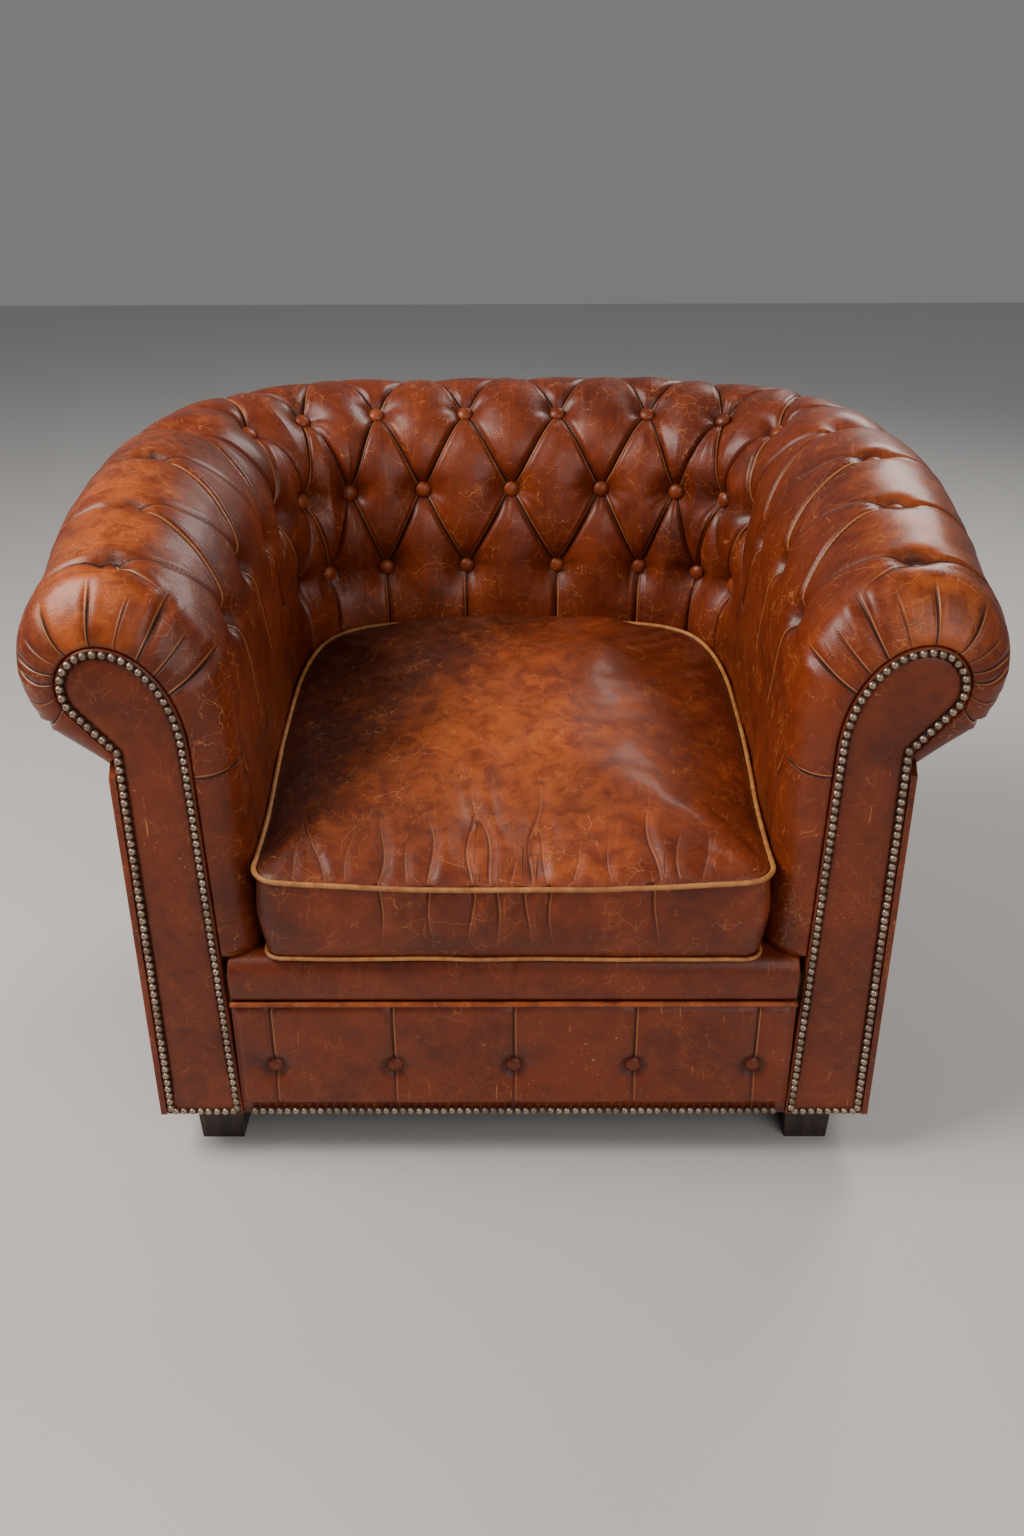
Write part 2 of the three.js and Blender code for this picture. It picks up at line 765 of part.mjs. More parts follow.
const routes = sideNames.map(([, side]) => facingNailRoute(side));
sideNames.forEach(([name], i) => {
  add(`nail_row_${name}`, nailStrip(routes[i]), brass);
});

// Outside panels below the roll, with their seams at the back corners
const outsideSeam = 2.75;
const outsideInner = nailInset - neckInset + seatGap;
const panelTop = (u) => rollFrame(u).z - rollSkirtDrop - looseGap;
const seamGap = (2 * seatGap) / buttonSpacing;

function outsidePanel(from, to) {
  return tubBoard(from, to, outsideInner, outsideReach, level(upholsteryBottom), panelTop, panelStep);
}

add("outside_back", outsidePanel(-outsideSeam, outsideSeam), leather);
add("outside_arm_left", outsidePanel(-buttonSpacesPerSide, -outsideSeam - seamGap), leather);
add("outside_arm_right", outsidePanel(outsideSeam + seamGap, buttonSpacesPerSide), leather);

// Inside width at the front between the facings' edges
const frontHalfWidth = rollCentreX - shoulderReach - nailInset
  - wallLean * (rollCentreHeight + shoulderZ - upholsteryBottom) - seatGap;
const frontRailFront = frontPadDepth - frontPadProud + seatGap;
const frontRailBack = frontRailFront + boardThickness;
const postFront = facingThickness + 2 * seatGap;
const postBack = postFront + boardThickness;

// Buttoned pad across the front rail: upright pleats through one row of buttons
function frontPanel() {
  const seat = frontButtonRadius + 1;
  const middle = (frontButtonCount - 1) / 2;
  const columns = [-frontHalfWidth];
  const pleats = [];
  for (let i = 0; i < frontButtonCount; i += 1) {
    const x = (i - middle) * frontButtonPitch;
    pleats.push(x);
    columns.push(x - 2.6 * seat, x - seat, x, x + seat, x + 2.6 * seat);
  }
  columns.push(frontHalfWidth);
  const z = frontButtonHeightAboveFloor;
  const nailBandTop = upholsteryBottom + 2 * nailInset;
  const rows = [upholsteryBottom, nailBandTop, mix(nailBandTop, z - seat, 0.5), z - seat, z, z + seat];
  rows.push(mix(z + seat, frontPadTop, 0.5), frontPadTop);
  const dimple = frontPadDepth * 0.5;
  const points = [];
  const front = columns.map((x) => rows.map((height, j) => {
    const away = Math.min(...pleats.map((pleat) => Math.abs(x - pleat)));
    const onSeat = away < seat + 0.1 && Math.abs(height - z) < seat + 0.1;
    const onEdge = j < 2 || j === rows.length - 1;
    const onPleat = away < 0.1 && !onEdge ? frontPleatDepth : 0;
    const depth = onSeat ? dimple : onPleat + (onEdge ? frontPadEdgeSunk : 0);
    points.push(new THREE.Vector3(x, depth - frontPadProud, height));
    return points.length - 1;
  }));
  const triangles = [];
  for (let i = 0; i < front.length - 1; i += 1) {
    for (let j = 0; j < rows.length - 1; j += 1) {
      const [a, b, c, d] = [front[i][j], front[i + 1][j], front[i + 1][j + 1], front[i][j + 1]];
      triangles.push([a, b, c], [a, c, d]);
    }
  }
  const backY = frontPadDepth - frontPadProud;
  const corners = [[0, 0], [1, 0], [1, 1], [0, 1]].map(([right, up]) => {
    const x = right ? frontHalfWidth : -frontHalfWidth;
    points.push(new THREE.Vector3(x, backY, up ? frontPadTop : upholsteryBottom));
    return points.length - 1;
  });
  triangles.push([corners[0], corners[2], corners[1]], [corners[0], corners[3], corners[2]]);
  const last = rows.length - 1;
  zip(triangles, front.map((column) => column[0]), [corners[0], corners[1]]);
  zip(triangles, [corners[3], corners[2]], front.map((column) => column[last]));
  zip(triangles, [corners[0], corners[3]], front[0]);
  zip(triangles, front[front.length - 1], [corners[1], corners[2]]);
  return { solid: solidFrom(points, triangles), pleats, seatY: dimple - frontPadProud, z };
}

const panel = frontPanel();
add("front_panel", panel.solid, leather);
panel.pleats.forEach((x, i) => {
  const button = buttonProfile(frontButtonRadius, frontButtonDepth, 8, 0);
  button.rotateX(180 * degree);
  button.translate(x, panel.seatY - seatGap, panel.z);
  add(`front_button_${i + 1}`, button, leather);
});

function baseNailRoute() {
  const z = upholsteryBottom + nailInset;
  const end = frontHalfWidth - 2 * nailRadius;
  return [new THREE.Vector2(-end, z), new THREE.Vector2(end, z)];
}

const baseNails = nailStrip(baseNailRoute());
baseNails.translate(0, frontPadEdgeSunk - frontPadProud, 0);
add("nail_row_base", baseNails, brass);

// Rolled leather lip over the front rail, with the piping below it
const lipPipingZ = frontPadTop + seatGap + lipPipingRadius;
const lipBottom = lipPipingZ + lipPipingRadius + seatGap;

function acrossFront(profile) {
  const shape = new THREE.Shape(profile.map(([y, z]) => new THREE.Vector2(y, z)));
  const bar = new THREE.ExtrudeGeometry(shape, { depth: 2 * frontHalfWidth, bevelEnabled: false });
  // Local x, y, z of the extrusion become the chair's y, z, x
  const axes = new THREE.Matrix4().set(0, 0, 1, -frontHalfWidth, 1, 0, 0, 0, 0, 1, 0, 0, 0, 0, 0, 1);
  bar.applyMatrix4(axes);
  return bar;
}

function frontLip() {
  const backY = postBack + seatGap / 2;
  const noseHeight = deckTop - lipBottom;
  const profile = [[-lipProud * 0.4, lipBottom], [frontRailFront - seatGap, lipBottom]];
  profile.push([frontRailFront - seatGap, frontRailTop + seatGap], [backY, frontRailTop + seatGap]);
  profile.push([backY, deckTop]);
  const noseReach = lipProud + frontRailFront;
  for (let i = 0; i <= 5; i += 1) {
    const turn = (90 - (i / 5) * 90) * degree;
    const rise = lipBottom + noseHeight * 0.45 + noseHeight * 0.55 * Math.sin(turn);
    profile.push([frontRailFront - noseReach * Math.cos(turn), rise]);
  }
  return acrossFront(profile);
}

add("front_lip", frontLip(), leather);

function lipPiping() {
  const profile = [];
  for (let i = 0; i < 8; i += 1) {
    const turn = (i + 0.5) * 45 * degree;
    const radius = lipPipingRadius / Math.cos(22.5 * degree);
    profile.push([-lipProud * 0.4 + radius * Math.cos(turn), lipPipingZ + radius * Math.sin(turn)]);
  }
  return acrossFront(profile);
}

add("front_lip_piping", lipPiping(), pipingLeather);

// Loose seat cushion: the plan follows the inside of the tub, the front stands forward between the arms
const cushionN = -shoulderReach - padThickness - cushionGap;

function cushionOutline(grow) {
  const half = [];
  for (let i = 0; i <= cushionSideStations; i += 1) {
    const point = placed((i / cushionSideStations) * spacesBack(curlDepth), cushionN + grow, 0);
    half.push(new THREE.Vector2(point.x, point.y));
  }
  const side = rollCentreX + cushionN + grow;
  const front = -cushionOverhang - grow;
  const radius = cushionCornerRadius + grow;
  for (let i = 0; i <= 4; i += 1) {
    const turn = (i / 4) * 90 * degree;
    const x = side - radius + radius * Math.cos(turn);
    half.push(new THREE.Vector2(x, front + radius - radius * Math.sin(turn)));
  }
  half.push(new THREE.Vector2(side / 2, front));
  const otherHalf = half.slice(1).reverse().map((point) => new THREE.Vector2(-point.x, point.y));
  return [...half, new THREE.Vector2(0, front), ...otherHalf];
}

const cushionBack = armStraight + backRoundDepth + cushionN;
const cushionBottomSeam = () => deckTop + cushionSeamLift;

// The top seam climbs towards the back, where the filling is thickest
function cushionTopSeam(y) {
  const share = THREE.MathUtils.clamp((y + cushionOverhang) / (cushionBack + cushionOverhang), 0, 1);
  return deckTop + cushionSeamLift + cushionBoxHeight + cushionRearRise * share ** cushionRisePower;
}

function cushion() {
  const centreY = (cushionBack - cushionOverhang) / 2;
  const ring = (outline, share, height) => outline.map((point) => {
    const y = centreY + (point.y - centreY) * share;
    return new THREE.Vector3(point.x * share, y, height(y));
  });
  const edge = cushionOutline(0);
  const bulge = cushionOutline(cushionBulge);
  const crown = (share) => (y) => cushionTopSeam(y) + cushionCrownHeight * share;
  const rings = [
    ring(cushionOutline(-cushionBottomInset), 0.93, level(deckTop + seatGap)),
    ring(cushionOutline(-cushionBottomInset), 1, cushionBottomSeam),
    ring(bulge, 1, (y) => (cushionBottomSeam() + cushionTopSeam(y)) / 2),
    ring(edge, 1, cushionTopSeam),
    ring(edge, 0.9, crown(0.55)),
    ring(edge, 0.7, crown(0.88)),
    ring(edge, 0.35, crown(1)),
  ];
  return loft(rings, false);
}

function cushionPiping(inset, height) {
  const outline = cushionOutline(cushionPipingRadius + looseGap - inset);
  const path = outline.map((point) => new THREE.Vector3(point.x, point.y, height(point.y)));
  return barAlong(path, cushionPipingRadius, 6, true);
}

add("seat_cushion", cushion(), cushionLeather);
add("cushion_piping_top", cushionPiping(0, cushionTopSeam), pipingLeather);
add("cushion_piping_bottom", cushionPiping(cushionBottomInset, cushionBottomSeam), pipingLeather);

// Boards of the frame inside the tub
const railInner = -shoulderReach + padInnerLayer + seatGap;
const railOuter = railInner + boardThickness;
const uprightInner = railOuter + seatGap;
const uprightOuter = uprightInner + uprightDepth;
const railBottom = upholsteryBottom + dustCoverThickness;
const railEnd = spacesBack(postBack + seatGap);
const railSeam = 3.5;
const arms = [["left", -railEnd, -railSeam - seamGap], ["right", railSeam + seamGap, railEnd]];

function rails(name, bottom, top) {
  const rail = (from, to) => tubBoard(from, to, railInner, railOuter, level(bottom), level(top));
  add(`${name}_back`, rail(-railSeam, railSeam), frameWood);
  arms.forEach(([side, from, to]) => {
    add(`${name}_${side}`, rail(from, to), frameWood);
  });
}

rails("base_rail", railBottom, railBottom + baseRailHeight);
rails("seat_rail", frontRailTop - seatRailHeight, frontRailTop);

const rollRailInner = -rollRailInset;
const rollRailOuter = rollRailWidth - rollRailInset;
const rollRailBottom = (u) => rollFrame(u).coreZ - rollRailHeight / 2;
const rollRailTop = (u) => rollFrame(u).coreZ + rollRailHeight / 2;

function rollRail(from, to) {
  return tubBoard(from, to, rollRailInner, rollRailOuter, rollRailBottom, rollRailTop);
}

add("roll_rail_back", rollRail(-railSeam, railSeam), frameWood);
arms.forEach(([side, from, to]) => {
  add(`roll_rail_${side}`, rollRail(from, to), frameWood);
});

const uprightTop = (u) => rollRailBottom(u) - seatGap;
const uprights = [
  ["upright_left_arm", -5.5],
  ["upright_left_corner", -3],
  ["upright_back", -boardStep / 2],
  ["upright_right_corner", 3 - boardStep],
  ["upright_right_arm", 5.5 - boardStep],
];
uprights.forEach(([name, from]) => {
  const to = from + boardStep;
  add(name, tubBoard(from, to, uprightInner, uprightOuter, level(railBottom), uprightTop), frameWood);
});

sideNames.forEach(([name, side]) => {
  const grow = -padInnerLayer - seatGap;
  const post = armBoard(grow, railBottom, backingStations, postFront, boardThickness, 0, side);
  add(`front_post_${name}`, post, frameWood);
});

const postInnerX = rollCentreX - shoulderReach + padInnerLayer + seatGap
  - wallLean * (rollCentreHeight + shoulderZ - railBottom);
const frontRailHalf = postInnerX - seatGap;
const frontRail = new THREE.BoxGeometry(2 * frontRailHalf, boardThickness, frontRailTop - railBottom);
frontRail.translate(0, frontRailFront + boardThickness / 2, (frontRailTop + railBottom) / 2);
add("front_rail", frontRail, frameWood);

// Corner blocks brace the base rails and carry the feet
sideNames.forEach(([name, side]) => {
  const x = rollCentreX + railInner - seatGap;
  const y = Math.max(frontRailBack, postBack) + seatGap;
  const corner = [[x, y], [x, y + cornerBlockLeg], [x - cornerBlockLeg, y]];
  const shape = new THREE.Shape(corner.map(([px, py]) => new THREE.Vector2(side * px, py)));
  const block = new THREE.ExtrudeGeometry(shape, { depth: cornerBlockHeight, bevelEnabled: false });
  block.translate(0, 0, railBottom);
  add(`corner_block_front_${name}`, block, frameWood);
  const [from, to] = side < 0 ? [-3, -2] : [2, 3];
  const inner = railInner - seatGap - cornerBlockLeg * 0.7;
  const blockTop = level(railBottom + cornerBlockHeight);
  const rearBlock = tubBoard(from, to, inner, railInner - seatGap, level(railBottom), blockTop);
  add(`corner_block_back_${name}`, rearBlock, frameWood);
});

// Zigzag springs from the front rail to the curved back rail
const springZ = frontRailTop + seatGap + springWire / 2;

function backRailY(x) {
  let y = 0;
  for (let u = 0; u < railSeam; u += 0.01) {
    const point = placed(u, (railInner + railOuter) / 2, 0);
    if (point.x <= x) {
      y = point.y;
    }
  }
  return y;
}

function zigzagSpring(x) {
  const startY = Math.max(frontRailBack - springWire, postBack + springWire / 2 + looseGap);
  const endY = backRailY(Math.abs(x) + springWidth / 2);
  const turns = 2 * Math.round((endY - startY) / (2 * springPitch));
  const path = [];
  for (let i = 0; i <= turns; i += 1) {
    const y = mix(startY, endY, i / turns);
    const side = i % 2 === 0 ? 1 : -1;
    path.push(new THREE.Vector3(x - (side * springWidth) / 2, y, springZ));
    path.push(new THREE.Vector3(x + (side * springWidth) / 2, y, springZ));
  }
  return barAlong(path, springWire / 2, 4, false);
}

for (let i = 0; i < springCount; i += 1) {
  add(`zigzag_spring_${i + 1}`, zigzagSpring((i - (springCount - 1) / 2) * springSpacing), springSteel);
}

// Level sheets that follow the tub's plan: spring cloth, seat deck and dust cover
function planSheet(n, front, bottom, thickness) {
  const half = [];
  const end = spacesBack(front);
  for (let u = 0; u < end; u += boardStep) {
    half.push(placed(u, n, 0));
  }
  half.push(placed(end, n, 0));
  const mirrored = half.slice(1).reverse().map((point) => new THREE.Vector2(-point.x, point.y));
  const outline = [...half.map((point) => new THREE.Vector2(point.x, point.y)), ...mirrored];
  const shape = new THREE.Shape(outline);
  const geometry = new THREE.ExtrudeGeometry(shape, { depth: thickness, bevelEnabled: false });
  geometry.translate(0, 0, bottom);
  return geometry;
}

const springTop = springZ + springWire / 2;
const clothBottom = springTop + seatGap;
const deckBottom = clothBottom + clothThickness + seatGap;
const deckFront = postBack + 2 * seatGap;
add("spring_cloth", planSheet(railOuter - seatGap, deckFront, clothBottom, clothThickness), hessian);
add("seat_deck", planSheet(railOuter - seatGap, deckFront, deckBottom, deckTop - deckBottom), hessian);

const dustCoverBottom = railBottom - seatGap - dustCoverThickness;
const dustCoverN = outsideInner - looseGap;
const dustCover = planSheet(dustCoverN, frontRailFront, dustCoverBottom, dustCoverThickness);
add("dust_cover", dustCover, blackCloth);

// Square tapered feet under the corners
function foot(x, y) {
  const half = Math.SQRT1_2;
  const block = new THREE.CylinderGeometry(footTopWidth * half, footToeWidth * half, footHeight, 4, 1);
  block.rotateY(45 * degree);
  block.rotateX(90 * degree);
  block.translate(x, y, footHeight / 2);
  return block;
}

const rearFootPlace = placed(2.5, railInner - cornerBlockLeg * 0.2, 0);
sideNames.forEach(([name, side]) => {
  const frontX = side * (rollCentreX - neckInset - nailInset - footTopWidth * 0.75);
  add(`foot_front_${name}`, foot(frontX, frontFootSetback + footTopWidth / 2), darkWood);
  add(`foot_back_${name}`, foot(side * rearFootPlace.x, rearFootPlace.y), darkWood);
});

// The origin lies on the floor under the middle of the chair
const reach = new THREE.Box3().setFromObject(chair);
chair.position.y = -(reach.min.y + reach.max.y) / 2;
chair.updateMatrixWorld(true);

export default chair;
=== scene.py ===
import math
import random

import bmesh
import bpy
import numpy as np
from mathutils import Matrix, Vector, noise


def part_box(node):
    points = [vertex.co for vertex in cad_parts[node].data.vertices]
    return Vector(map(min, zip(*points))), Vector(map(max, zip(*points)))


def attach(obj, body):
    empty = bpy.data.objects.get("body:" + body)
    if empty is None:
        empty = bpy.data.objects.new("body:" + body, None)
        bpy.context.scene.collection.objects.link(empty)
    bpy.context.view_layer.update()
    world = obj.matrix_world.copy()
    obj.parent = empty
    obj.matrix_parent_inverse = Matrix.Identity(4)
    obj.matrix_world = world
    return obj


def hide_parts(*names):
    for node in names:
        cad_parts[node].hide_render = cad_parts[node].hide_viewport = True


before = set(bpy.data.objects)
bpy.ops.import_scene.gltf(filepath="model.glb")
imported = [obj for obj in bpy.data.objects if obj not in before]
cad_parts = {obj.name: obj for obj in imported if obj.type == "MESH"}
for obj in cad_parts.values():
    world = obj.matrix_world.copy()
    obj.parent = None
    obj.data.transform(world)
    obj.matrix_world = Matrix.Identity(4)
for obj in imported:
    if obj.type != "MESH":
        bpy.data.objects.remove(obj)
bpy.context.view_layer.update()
print("frame loaded")

# Plane of the arm fronts
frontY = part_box("facing_left")[0].y

# Camera, fitted to the buttons and edges of the photograph
cameraView = {
    "place": (0.00519, frontY - 1.194928, 1.111561),
    "pitch": 0.465041,
    "yaw": -0.004853,
    "roll": -0.003879,
    "lens": 31.117,
}


def inScene(name, data):
    thing = bpy.data.objects.new(name, data)
    bpy.context.scene.collection.objects.link(thing)
    return thing


def makeCamera():
    data = bpy.data.cameras.new("chairCamera")
    data.lens = cameraView["lens"]
    data.sensor_width = 36
    camera = inScene("chairCamera", data)
    yaw, pitch, roll = cameraView["yaw"], cameraView["pitch"], cameraView["roll"]
    ahead = Vector((math.sin(yaw) * math.cos(pitch), math.cos(yaw) * math.cos(pitch), -math.sin(pitch)))
    right = Vector((math.cos(yaw), -math.sin(yaw), 0))
    up = right.cross(ahead)
    tiltedRight = right * math.cos(roll) + up * math.sin(roll)
    tiltedUp = up * math.cos(roll) - right * math.sin(roll)
    turn = Matrix((tiltedRight, tiltedUp, -ahead)).transposed().to_4x4()
    camera.matrix_world = Matrix.Translation(cameraView["place"]) @ turn
    bpy.context.scene.camera = camera


makeCamera()


# A shader socket whose sums, differences and products become Math nodes
class Value:
    def __init__(self, paint, socket):
        self.paint = paint
        self.socket = socket

    def combine(self, operation, first, second):
        return self.paint.node("ShaderNodeMath", {"operation": operation}, {0: first, 1: second})

    def __add__(self, other):
        return self.combine("ADD", self, other)

    def __radd__(self, other):
        return self.combine("ADD", other, self)

    def __sub__(self, other):
        return self.combine("SUBTRACT", self, other)

    def __rsub__(self, other):
        return self.combine("SUBTRACT", other, self)

    def __mul__(self, other):
        return self.combine("MULTIPLY", self, other)

    def __rmul__(self, other):
        return self.combine("MULTIPLY", other, self)


# A material on Object coordinates, with the patterns that the finishes share
class Paint:
    def __init__(self, name):
        self.material = bpy.data.materials.new(name)
        self.material.use_nodes = True
        self.tree = self.material.node_tree
        self.tree.nodes.clear()
        self.place = self.node("ShaderNodeTexCoord", output="Object")

    def node(self, kind, settings=None, sockets=None, output=0):
        made = self.tree.nodes.new(kind)
        for key, setting in (settings or {}).items():
            setattr(made, key, setting)
        for key, given in (sockets or {}).items():
            if isinstance(given, Value):
                self.tree.links.new(given.socket, made.inputs[key])
            elif isinstance(given, tuple) and len(given) == 3 and made.inputs[key].type == "RGBA":
                made.inputs[key].default_value = (*given, 1)
            else:
                made.inputs[key].default_value = given
        return Value(self, made.outputs[output]) if len(made.outputs) else made

    def noise(self, scale, detail=3, rough=0.55, place=None, distortion=0.0):
        sockets = {"Vector": place or self.place, "Scale": scale, "Detail": detail,
                   "Roughness": rough, "Distortion": distortion}
        return self.node("ShaderNodeTexNoise", None, sockets)

    def between(self, value, low, high, fromValue=0.0, toValue=1.0):
        sockets = {"Value": value, "From Min": low, "From Max": high, "To Min": fromValue, "To Max": toValue}
        return self.node("ShaderNodeMapRange", {"interpolation_type": "SMOOTHSTEP"}, sockets)

    def blend(self, share, first, second):
        return self.node("ShaderNodeMix", {"data_type": "RGBA", "clamp_factor": True},
                         {0: share, 6: first, 7: second}, output=2)

    def stretched(self, scale, turned=(0.0, 0.0, 0.0)):
        sockets = {"Vector": self.place, "Scale": scale, "Rotation": turned}
        return self.node("ShaderNodeMapping", None, sockets)

    def vector(self, operation, first, second):
        return self.node("ShaderNodeVectorMath", {"operation": operation}, {0: first, 1: second})

    def shaken(self, scale, reach, place=None):
        start = place or self.place
        sockets = {"Vector": start, "Scale": scale, "Detail": 3.0}
        wobble = self.node("ShaderNodeTexNoise", None, sockets, output="Color")
        centred = self.vector("SUBTRACT", wobble, (0.5, 0.5, 0.5))
        return self.vector("ADD", start, self.vector("MULTIPLY", centred, (reach, reach, reach)))

    def attribute(self, name):
        return self.node("ShaderNodeAttribute", {"attribute_name": name}, output="Fac")

    def crackLines(self, scale, width, place):
        edge = self.node("ShaderNodeTexVoronoi", {"feature": "DISTANCE_TO_EDGE"},
                         {"Vector": place, "Scale": scale}, output="Distance")
        return self.between(edge, 0.0, width, 1.0, 0.0)

    def bump(self, height, strength, distance, under=None):
        sockets = {"Height": height, "Strength": strength, "Distance": distance}
        if under is not None:
            sockets["Normal"] = under
        return self.node("ShaderNodeBump", None, sockets)

    def finish(self, sockets):
        shader = self.node("ShaderNodeBsdfPrincipled", None, sockets)
        self.node("ShaderNodeOutputMaterial", None, {"Surface": shader})
        return self.material


# Leather: its colours, of which deep and dark also paint shade in creases and pits and rubbedAndHighlight
# also paints the highlights on fold lips, then each pattern's scale and the values of a noise between which
# it shows
leatherLook = {
    "deep": (0.012, 0.0025, 0.0012),
    "dark": (0.088, 0.0118, 0.0026),
    "middle": (0.200, 0.0300, 0.0048),
    "light": (0.47, 0.098, 0.0135),
    "rubbedAndHighlight": (0.72, 0.285, 0.090),
    "toneRange": (0.33, 0.61), "paleRange": (0.50, 0.70), "wearAndSheenRange": (0.15, 1.15, 0.0, 0.92),
    "streaksAlong": 170.0, "streaksAround": 13.0,
    "veinScale": 24.0, "veinWidth": 0.0085, "veinArea": (0.47, 0.60),
    "fineVeinScale": 62.0, "fineVeinWidth": 0.022, "fineVeinArea": (0.48, 0.60),
    "scratchStretch": (420.0, 18.0, 18.0), "scratchTurn": (0.3, 0.5, 0.7),
    "scratchRange": (0.68, 0.74), "scratchArea": (0.52, 0.64),
    "chipScale": 190.0, "chipRange": (0.67, 0.71), "chipArea": (0.50, 0.62),
    "grainScale": 900.0, "grainDepth": 0.0006, "gloss": 0.42,
    "creaseWidth": 0.0016, "creaseDepth": 0.0016, "shadeReach": 0.009,
    "lipPlace": 0.0025, "lipWidth": 0.0013,
    "shadeShare": 0.50, "lipHighlightShare": 0.62, "lineShare": 0.95, "pitShare": 0.85,
}


# Painted shade and highlight of folds: a dark line, a soft shade and a one-sided pale lip that stands for a
# highlight, from the signed distance and strength on the piece
def foldMarks(paint, gapName, strengthName):
    look = leatherLook
    signed = paint.attribute(gapName)
    gap = paint.node("ShaderNodeMath", {"operation": "ABSOLUTE"}, {0: signed})
    strength = paint.attribute(strengthName)
    line = paint.between(gap, look["creaseWidth"] * 0.25, look["creaseWidth"], 1.0, 0.0) * strength
    shade = paint.between(gap, 0.0, look["shadeReach"], 1.0, 0.0) * strength
    rising = paint.between(signed, look["lipPlace"] - look["lipWidth"], look["lipPlace"])
    falling = paint.between(signed, look["lipPlace"], look["lipPlace"] + look["lipWidth"], 1.0, 0.0)
    return line, shade, rising * falling * strength


# Leather with clouds, wear, cracks, scuffs and grain, and painted light: painted shade in pits, a painted
# shadow if given, painted sheen through wearAndSheen, and on a folded piece painted shade and highlights
# along the creases that follow its attributes
def leather(name, wearAt=0.0, paintedShadow=None, veins=1.0, scuffs=0.35, folded=False, streaky=False, dullness=0.0):
    look = leatherLook
    paint = Paint(name)
    wearAndSheen = paint.attribute("wearAndSheen")
    clouds = paint.noise(7.0, 4.0, 0.6)
    mottle = paint.noise(38.0, 5.0, 0.62, distortion=0.6)
    blotches = paint.noise(17.0, 4.0, 0.65, distortion=0.8)
    tone = clouds * 0.45 + mottle * 0.25 + blotches * 0.30
    if streaky:
        along = paint.attribute("along") * look["streaksAlong"]
        around = paint.attribute("around") * look["streaksAround"]
        run = paint.node("ShaderNodeCombineXYZ", None, {0: along, 1: around, 2: clouds * 2.0})
        streaks = paint.noise(1.0, 4.0, 0.62, place=run)
        tone = tone + (streaks - 0.5) * (0.14 + 0.30 * wearAndSheen)
    colour = paint.blend(paint.between(tone, *look["toneRange"]), look["dark"], look["middle"])
    # wearAndSheen lightens the leather: wear, and on the lip welt a painted highlight
    wearAndSheenMix = wearAndSheen * 0.80 + paint.between(tone, *look["paleRange"]) * 0.45 + wearAt
    wearAndSheenMix = wearAndSheenMix * paint.between(mottle, 0.30, 0.62, 0.55, 1.0)
    colour = paint.blend(paint.between(wearAndSheenMix, *look["wearAndSheenRange"]), colour, look["light"])
    # A painted shadow, darkening the leather where the given function marks it
    if paintedShadow:
        colour = paint.blend(paintedShadow(paint) * paint.between(mottle, 0.2, 0.8, 1.0, 0.75), colour, look["deep"])
    shaken = paint.shaken(26.0, 0.030)
    broad = paint.crackLines(look["veinScale"], look["veinWidth"], shaken)
    finer = paint.crackLines(look["fineVeinScale"], look["fineVeinWidth"], paint.shaken(75.0, 0.010, shaken))
    where = paint.between(blotches, *look["veinArea"])
    elsewhere = paint.between(paint.noise(23.0, 3.0, 0.7), *look["fineVeinArea"])
    lines = broad * where * 0.85 + finer * elsewhere * 0.70
    colour = paint.blend(lines * (0.62 * veins), colour, look["rubbedAndHighlight"])
    scratch = paint.noise(1.0, 2.0, 0.5, place=paint.stretched(look["scratchStretch"], look["scratchTurn"]))
    scratch = paint.between(scratch, *look["scratchRange"]) * paint.between(blotches, *look["scratchArea"])
    chips = paint.between(paint.noise(look["chipScale"], 3.0, 0.7), *look["chipRange"])
    marks = scratch * 0.7 + chips * paint.between(clouds, *look["chipArea"])
    colour = paint.blend(marks * scuffs, colour, look["rubbedAndHighlight"])
    cells = {"Vector": paint.shaken(300.0, 0.0012), "Scale": look["grainScale"], "Smoothness": 0.6}
    grain = paint.node("ShaderNodeTexVoronoi", {"feature": "SMOOTH_F1"}, cells, output="Distance")
    gloss = look["gloss"] + dullness + (mottle - 0.5) * 0.22 + lines * 0.10 - wearAndSheen * 0.05
    relief = paint.bump(grain + mottle * 2.2, 0.30, look["grainDepth"])
    if folded:
        for gapName, strengthName in (("foldGap", "fold"), ("tuckGap", "tuck")):
            line, shade, lip = foldMarks(paint, gapName, strengthName)
            # Painted shade beside each fold and in its crease line, and a painted highlight on its lip
            colour = paint.blend(shade * look["shadeShare"], colour, look["dark"])
            colour = paint.blend(lip * look["lipHighlightShare"], colour, look["rubbedAndHighlight"])
            colour = paint.blend(line * look["lineShare"], colour, look["deep"])
            gloss = gloss - lip * 0.10 + line * 0.3
            relief = paint.bump(lip * 0.6 - line, 0.9, look["creaseDepth"], relief)
    # Painted shade in the pits round buttons and in grooves
    colour = paint.blend(paint.attribute("pitShade") * look["pitShare"], colour, look["deep"])
    return paint.finish({"Base Color": colour, "Roughness": gloss, "Normal": relief,
                         "Coat Weight": 0.12, "Coat Roughness": 0.18, "Specular IOR Level": 0.36})


# Painted shadow of the left arm and the back, darkest at the rear left of the seat
def cushionPaintedShadow(paint):
    shaken = paint.shaken(7.0, 0.09)
    sideways, backwards = (paint.node("ShaderNodeSeparateXYZ", None, {0: shaken}, output=k) for k in (0, 1))
    return paint.between(sideways * -1.0 + backwards * 0.55, -0.04, 0.11) * 0.72

